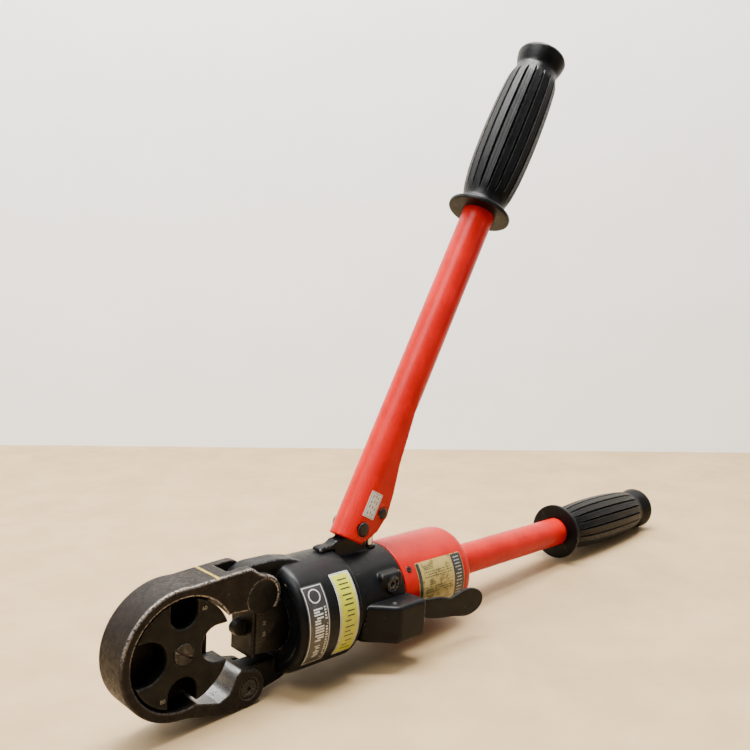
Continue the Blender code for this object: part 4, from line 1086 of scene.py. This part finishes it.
def bars(rng, start, end, low, high, weight):
    """A block of plain parallel bars that stands for one printed mark."""
    made = []
    for share in (0.1, 0.5, 0.9):
        level = low + (high - low) * share
        left = start + (end - start) * rng.choice((0.0, 0.0, 0.25))
        right = end - (end - start) * rng.choice((0.0, 0.0, 0.35))
        made.append((left, right, level - weight / 2, level + weight / 2))
    return made


def ticks(rng, start, end, low, high, height, gap):
    """Rows of short dashes, as small print looks from afar."""
    made = []
    row = low
    while row + height <= high:
        x = start
        while x < end:
            length = rng.uniform(0.6, 2.4)
            if rng.random() < 0.85:
                made.append((x, min(end, x + length), row, row + height))
            x += length + rng.uniform(0.3, 0.7)
        row += height + gap
    return made


def arc_span(radius, first, last):
    """How far round a cylinder two angles in degrees lie, in mm."""
    return (first * math.pi / 180 * radius, last * math.pi / 180 * radius)


def film(name, start, end, span, radius, lift, corner=1.0):
    """A label's sheet on a cylinder, from just above the paint up to `lift`."""
    return slab(name, start, end, *span, on_cylinder(radius, 0.02), on_cylinder(radius, lift), corner)


def build_labels():
    rng = random.Random(7)
    cylinder, vessel = 38.05, 33.05
    span = arc_span(cylinder, 43, 128)
    base = film("maker_label_film", 75.8, 94.2, span, cylinder, 0.22)
    place(base, "tool_body", LABEL_BLACK, "black_label", "model_label")
    marks = frame_lines(76.8, 93.2, span[0] + 1.0, span[1] - 1.0, 0.45)
    low = span[0] + 4.0
    marks += ring_patches((84.8, low + 3.8), 4.4, 0.8)
    for index in range(4):
        foot = low + 12.0 + index * 5.6
        marks += bars(rng, 81.2, 88.6, foot, foot + 4.3, 1.05)
    for index in range(3):
        foot = low + 36.5 + index * 3.4
        marks += bars(rng, 82.0, 86.6, foot, foot + 2.4, 0.55)
    marks += ticks(rng, 90.0, 91.8, low + 11.5, span[1] - 3.0, 1.0, 0.8)
    marks = patches("maker_label_marks", marks, on_cylinder(cylinder, 0.27))
    place(marks, "tool_body", WHITE, "white_label")
    span = arc_span(cylinder, 38, 128)
    base = film("caution_label_film", 102.8, 119.8, span, cylinder, 0.22)
    place(base, "tool_body", WHITE, "yellow_label", "yellow_label")
    field = slab("yellow_field", 104.2, 118.4, span[0] + 1.5, span[1] - 1.5,
                 on_cylinder(cylinder, 0.16), on_cylinder(cylinder, 0.30), 0.6)
    place(field, "tool_body", YELLOW, "yellow_label")
    marks = frame_lines(103.3, 119.3, span[0] + 0.6, span[1] - 0.6, 0.35)
    for index in range(5):
        foot = span[0] + 4.6 + index * 10.6
        marks += bars(rng, 107.2, 115.6, foot, foot + 8.0, 1.0)
    marks = patches("yellow_label_marks", marks, on_cylinder(cylinder, 0.35))
    place(marks, "tool_body", INK, "black_label")
    span = arc_span(vessel, 50, 138)
    base = film("rating_plate", 185.5, 236.0, span, vessel, 0.36, 1.6)
    place(base, "tool_body", PLATE, "plate_metal", "spec_plate")
    low, high = span[0] + 0.7, span[1] - 0.7
    marks = [(185.9, 189.2, low, high), (224.6, 235.6, low, high)]
    for index in range(4):
        foot = span[0] + 3.6 + index * 11.2
        marks += bars(rng, 193.0 + index % 2 * 3, 200.5 + index % 2 * 3, foot, foot + 3.2, 0.55)
        marks += ticks(rng, 192.0, 222.5, foot + 4.6, foot + 10.0, 0.70, 1.1)
    marks = patches("rating_plate_print", marks, on_cylinder(vessel, 0.41))
    place(marks, "tool_body", INK, "black_label")
    strips = ticks(rng, 227.0, 233.0, span[0] + 3.0, span[1] - 3.0, 0.6, 1.9)
    strips = patches("rating_plate_lines", strips, on_cylinder(vessel, 0.46))
    place(strips, "tool_body", WHITE, "white_label")


def build_sticker():
    rng = random.Random(3)
    base = slab("handle_sticker", 9.1, 28.2, -5.6, 5.3, on_handle(0.12), on_handle(0.32), 0.7)
    place(base, "pump_handle", WHITE, "white_label", "handle_label", matrix=HANDLE)
    marks = frame_lines(9.7, 27.6, -5.0, 4.7, 0.3)
    for index in range(4):
        start = 11.2 + index * 4.1
        marks += bars(rng, start, start + 3.1, -3.2, 3.2, 0.7)
    marks = patches("handle_sticker_marks", marks, on_handle(0.38))
    place(marks, "pump_handle", INK, "black_label", matrix=HANDLE)


# ---------------------------------------------------------------- floor and run
WALL_DISTANCE = 1.2
STAGE_HALF = 4.0
UP = Vector((0.0, 0.0, 1.0))


def build_stage():
    floor_surface = Surface("floor_surface")
    tone = floor_surface.span(floor_surface.noise(60.0, 5.0), 0.3, 0.7)
    colour = floor_surface.blend(tone, (0.30, 0.200, 0.092), (0.35, 0.240, 0.120))
    floor_surface.done(colour, floor_surface.span(floor_surface.noise(20.0), 0.3, 0.7, 0.55, 0.7))
    wall_surface = Surface("wall_surface")
    tone = wall_surface.span(wall_surface.noise(120.0, 5.0), 0.3, 0.7)
    colour = wall_surface.blend(tone, (0.90, 0.895, 0.875), (0.93, 0.925, 0.905))
    wall_surface.done(colour, wall_surface.span(wall_surface.noise(20.0), 0.3, 0.7, 0.75, 0.9))
    work = bmesh.new()
    bmesh.ops.create_grid(work, x_segments=24, y_segments=24, size=STAGE_HALF)
    floor = new_object("floor", work)
    floor.data.materials.append(floor_surface.material)
    heading = CAMERA.matrix_world.to_3x3() @ Vector((0.0, 0.0, -1.0))
    heading.z = 0.0
    heading.normalize()
    foot = CAMERA.matrix_world.translation + heading * WALL_DISTANCE
    work = bmesh.new()
    bmesh.ops.create_grid(work, x_segments=24, y_segments=24, size=STAGE_HALF)
    wall = new_object("backdrop", work)
    middle = Vector((foot.x, foot.y, STAGE_HALF))
    wall.matrix_world = frame_matrix(middle, heading.cross(UP), UP, -heading)
    wall.data.materials.append(wall_surface.material)


def main():
    make_lights()
    dress_frame()
    build_yoke()
    build_die()
    build_cylinder()
    build_ram()
    build_pump()
    build_release()
    build_handle()
    build_grips()
    build_reservoir()
    build_labels()
    build_sticker()
    build_stage()


main()
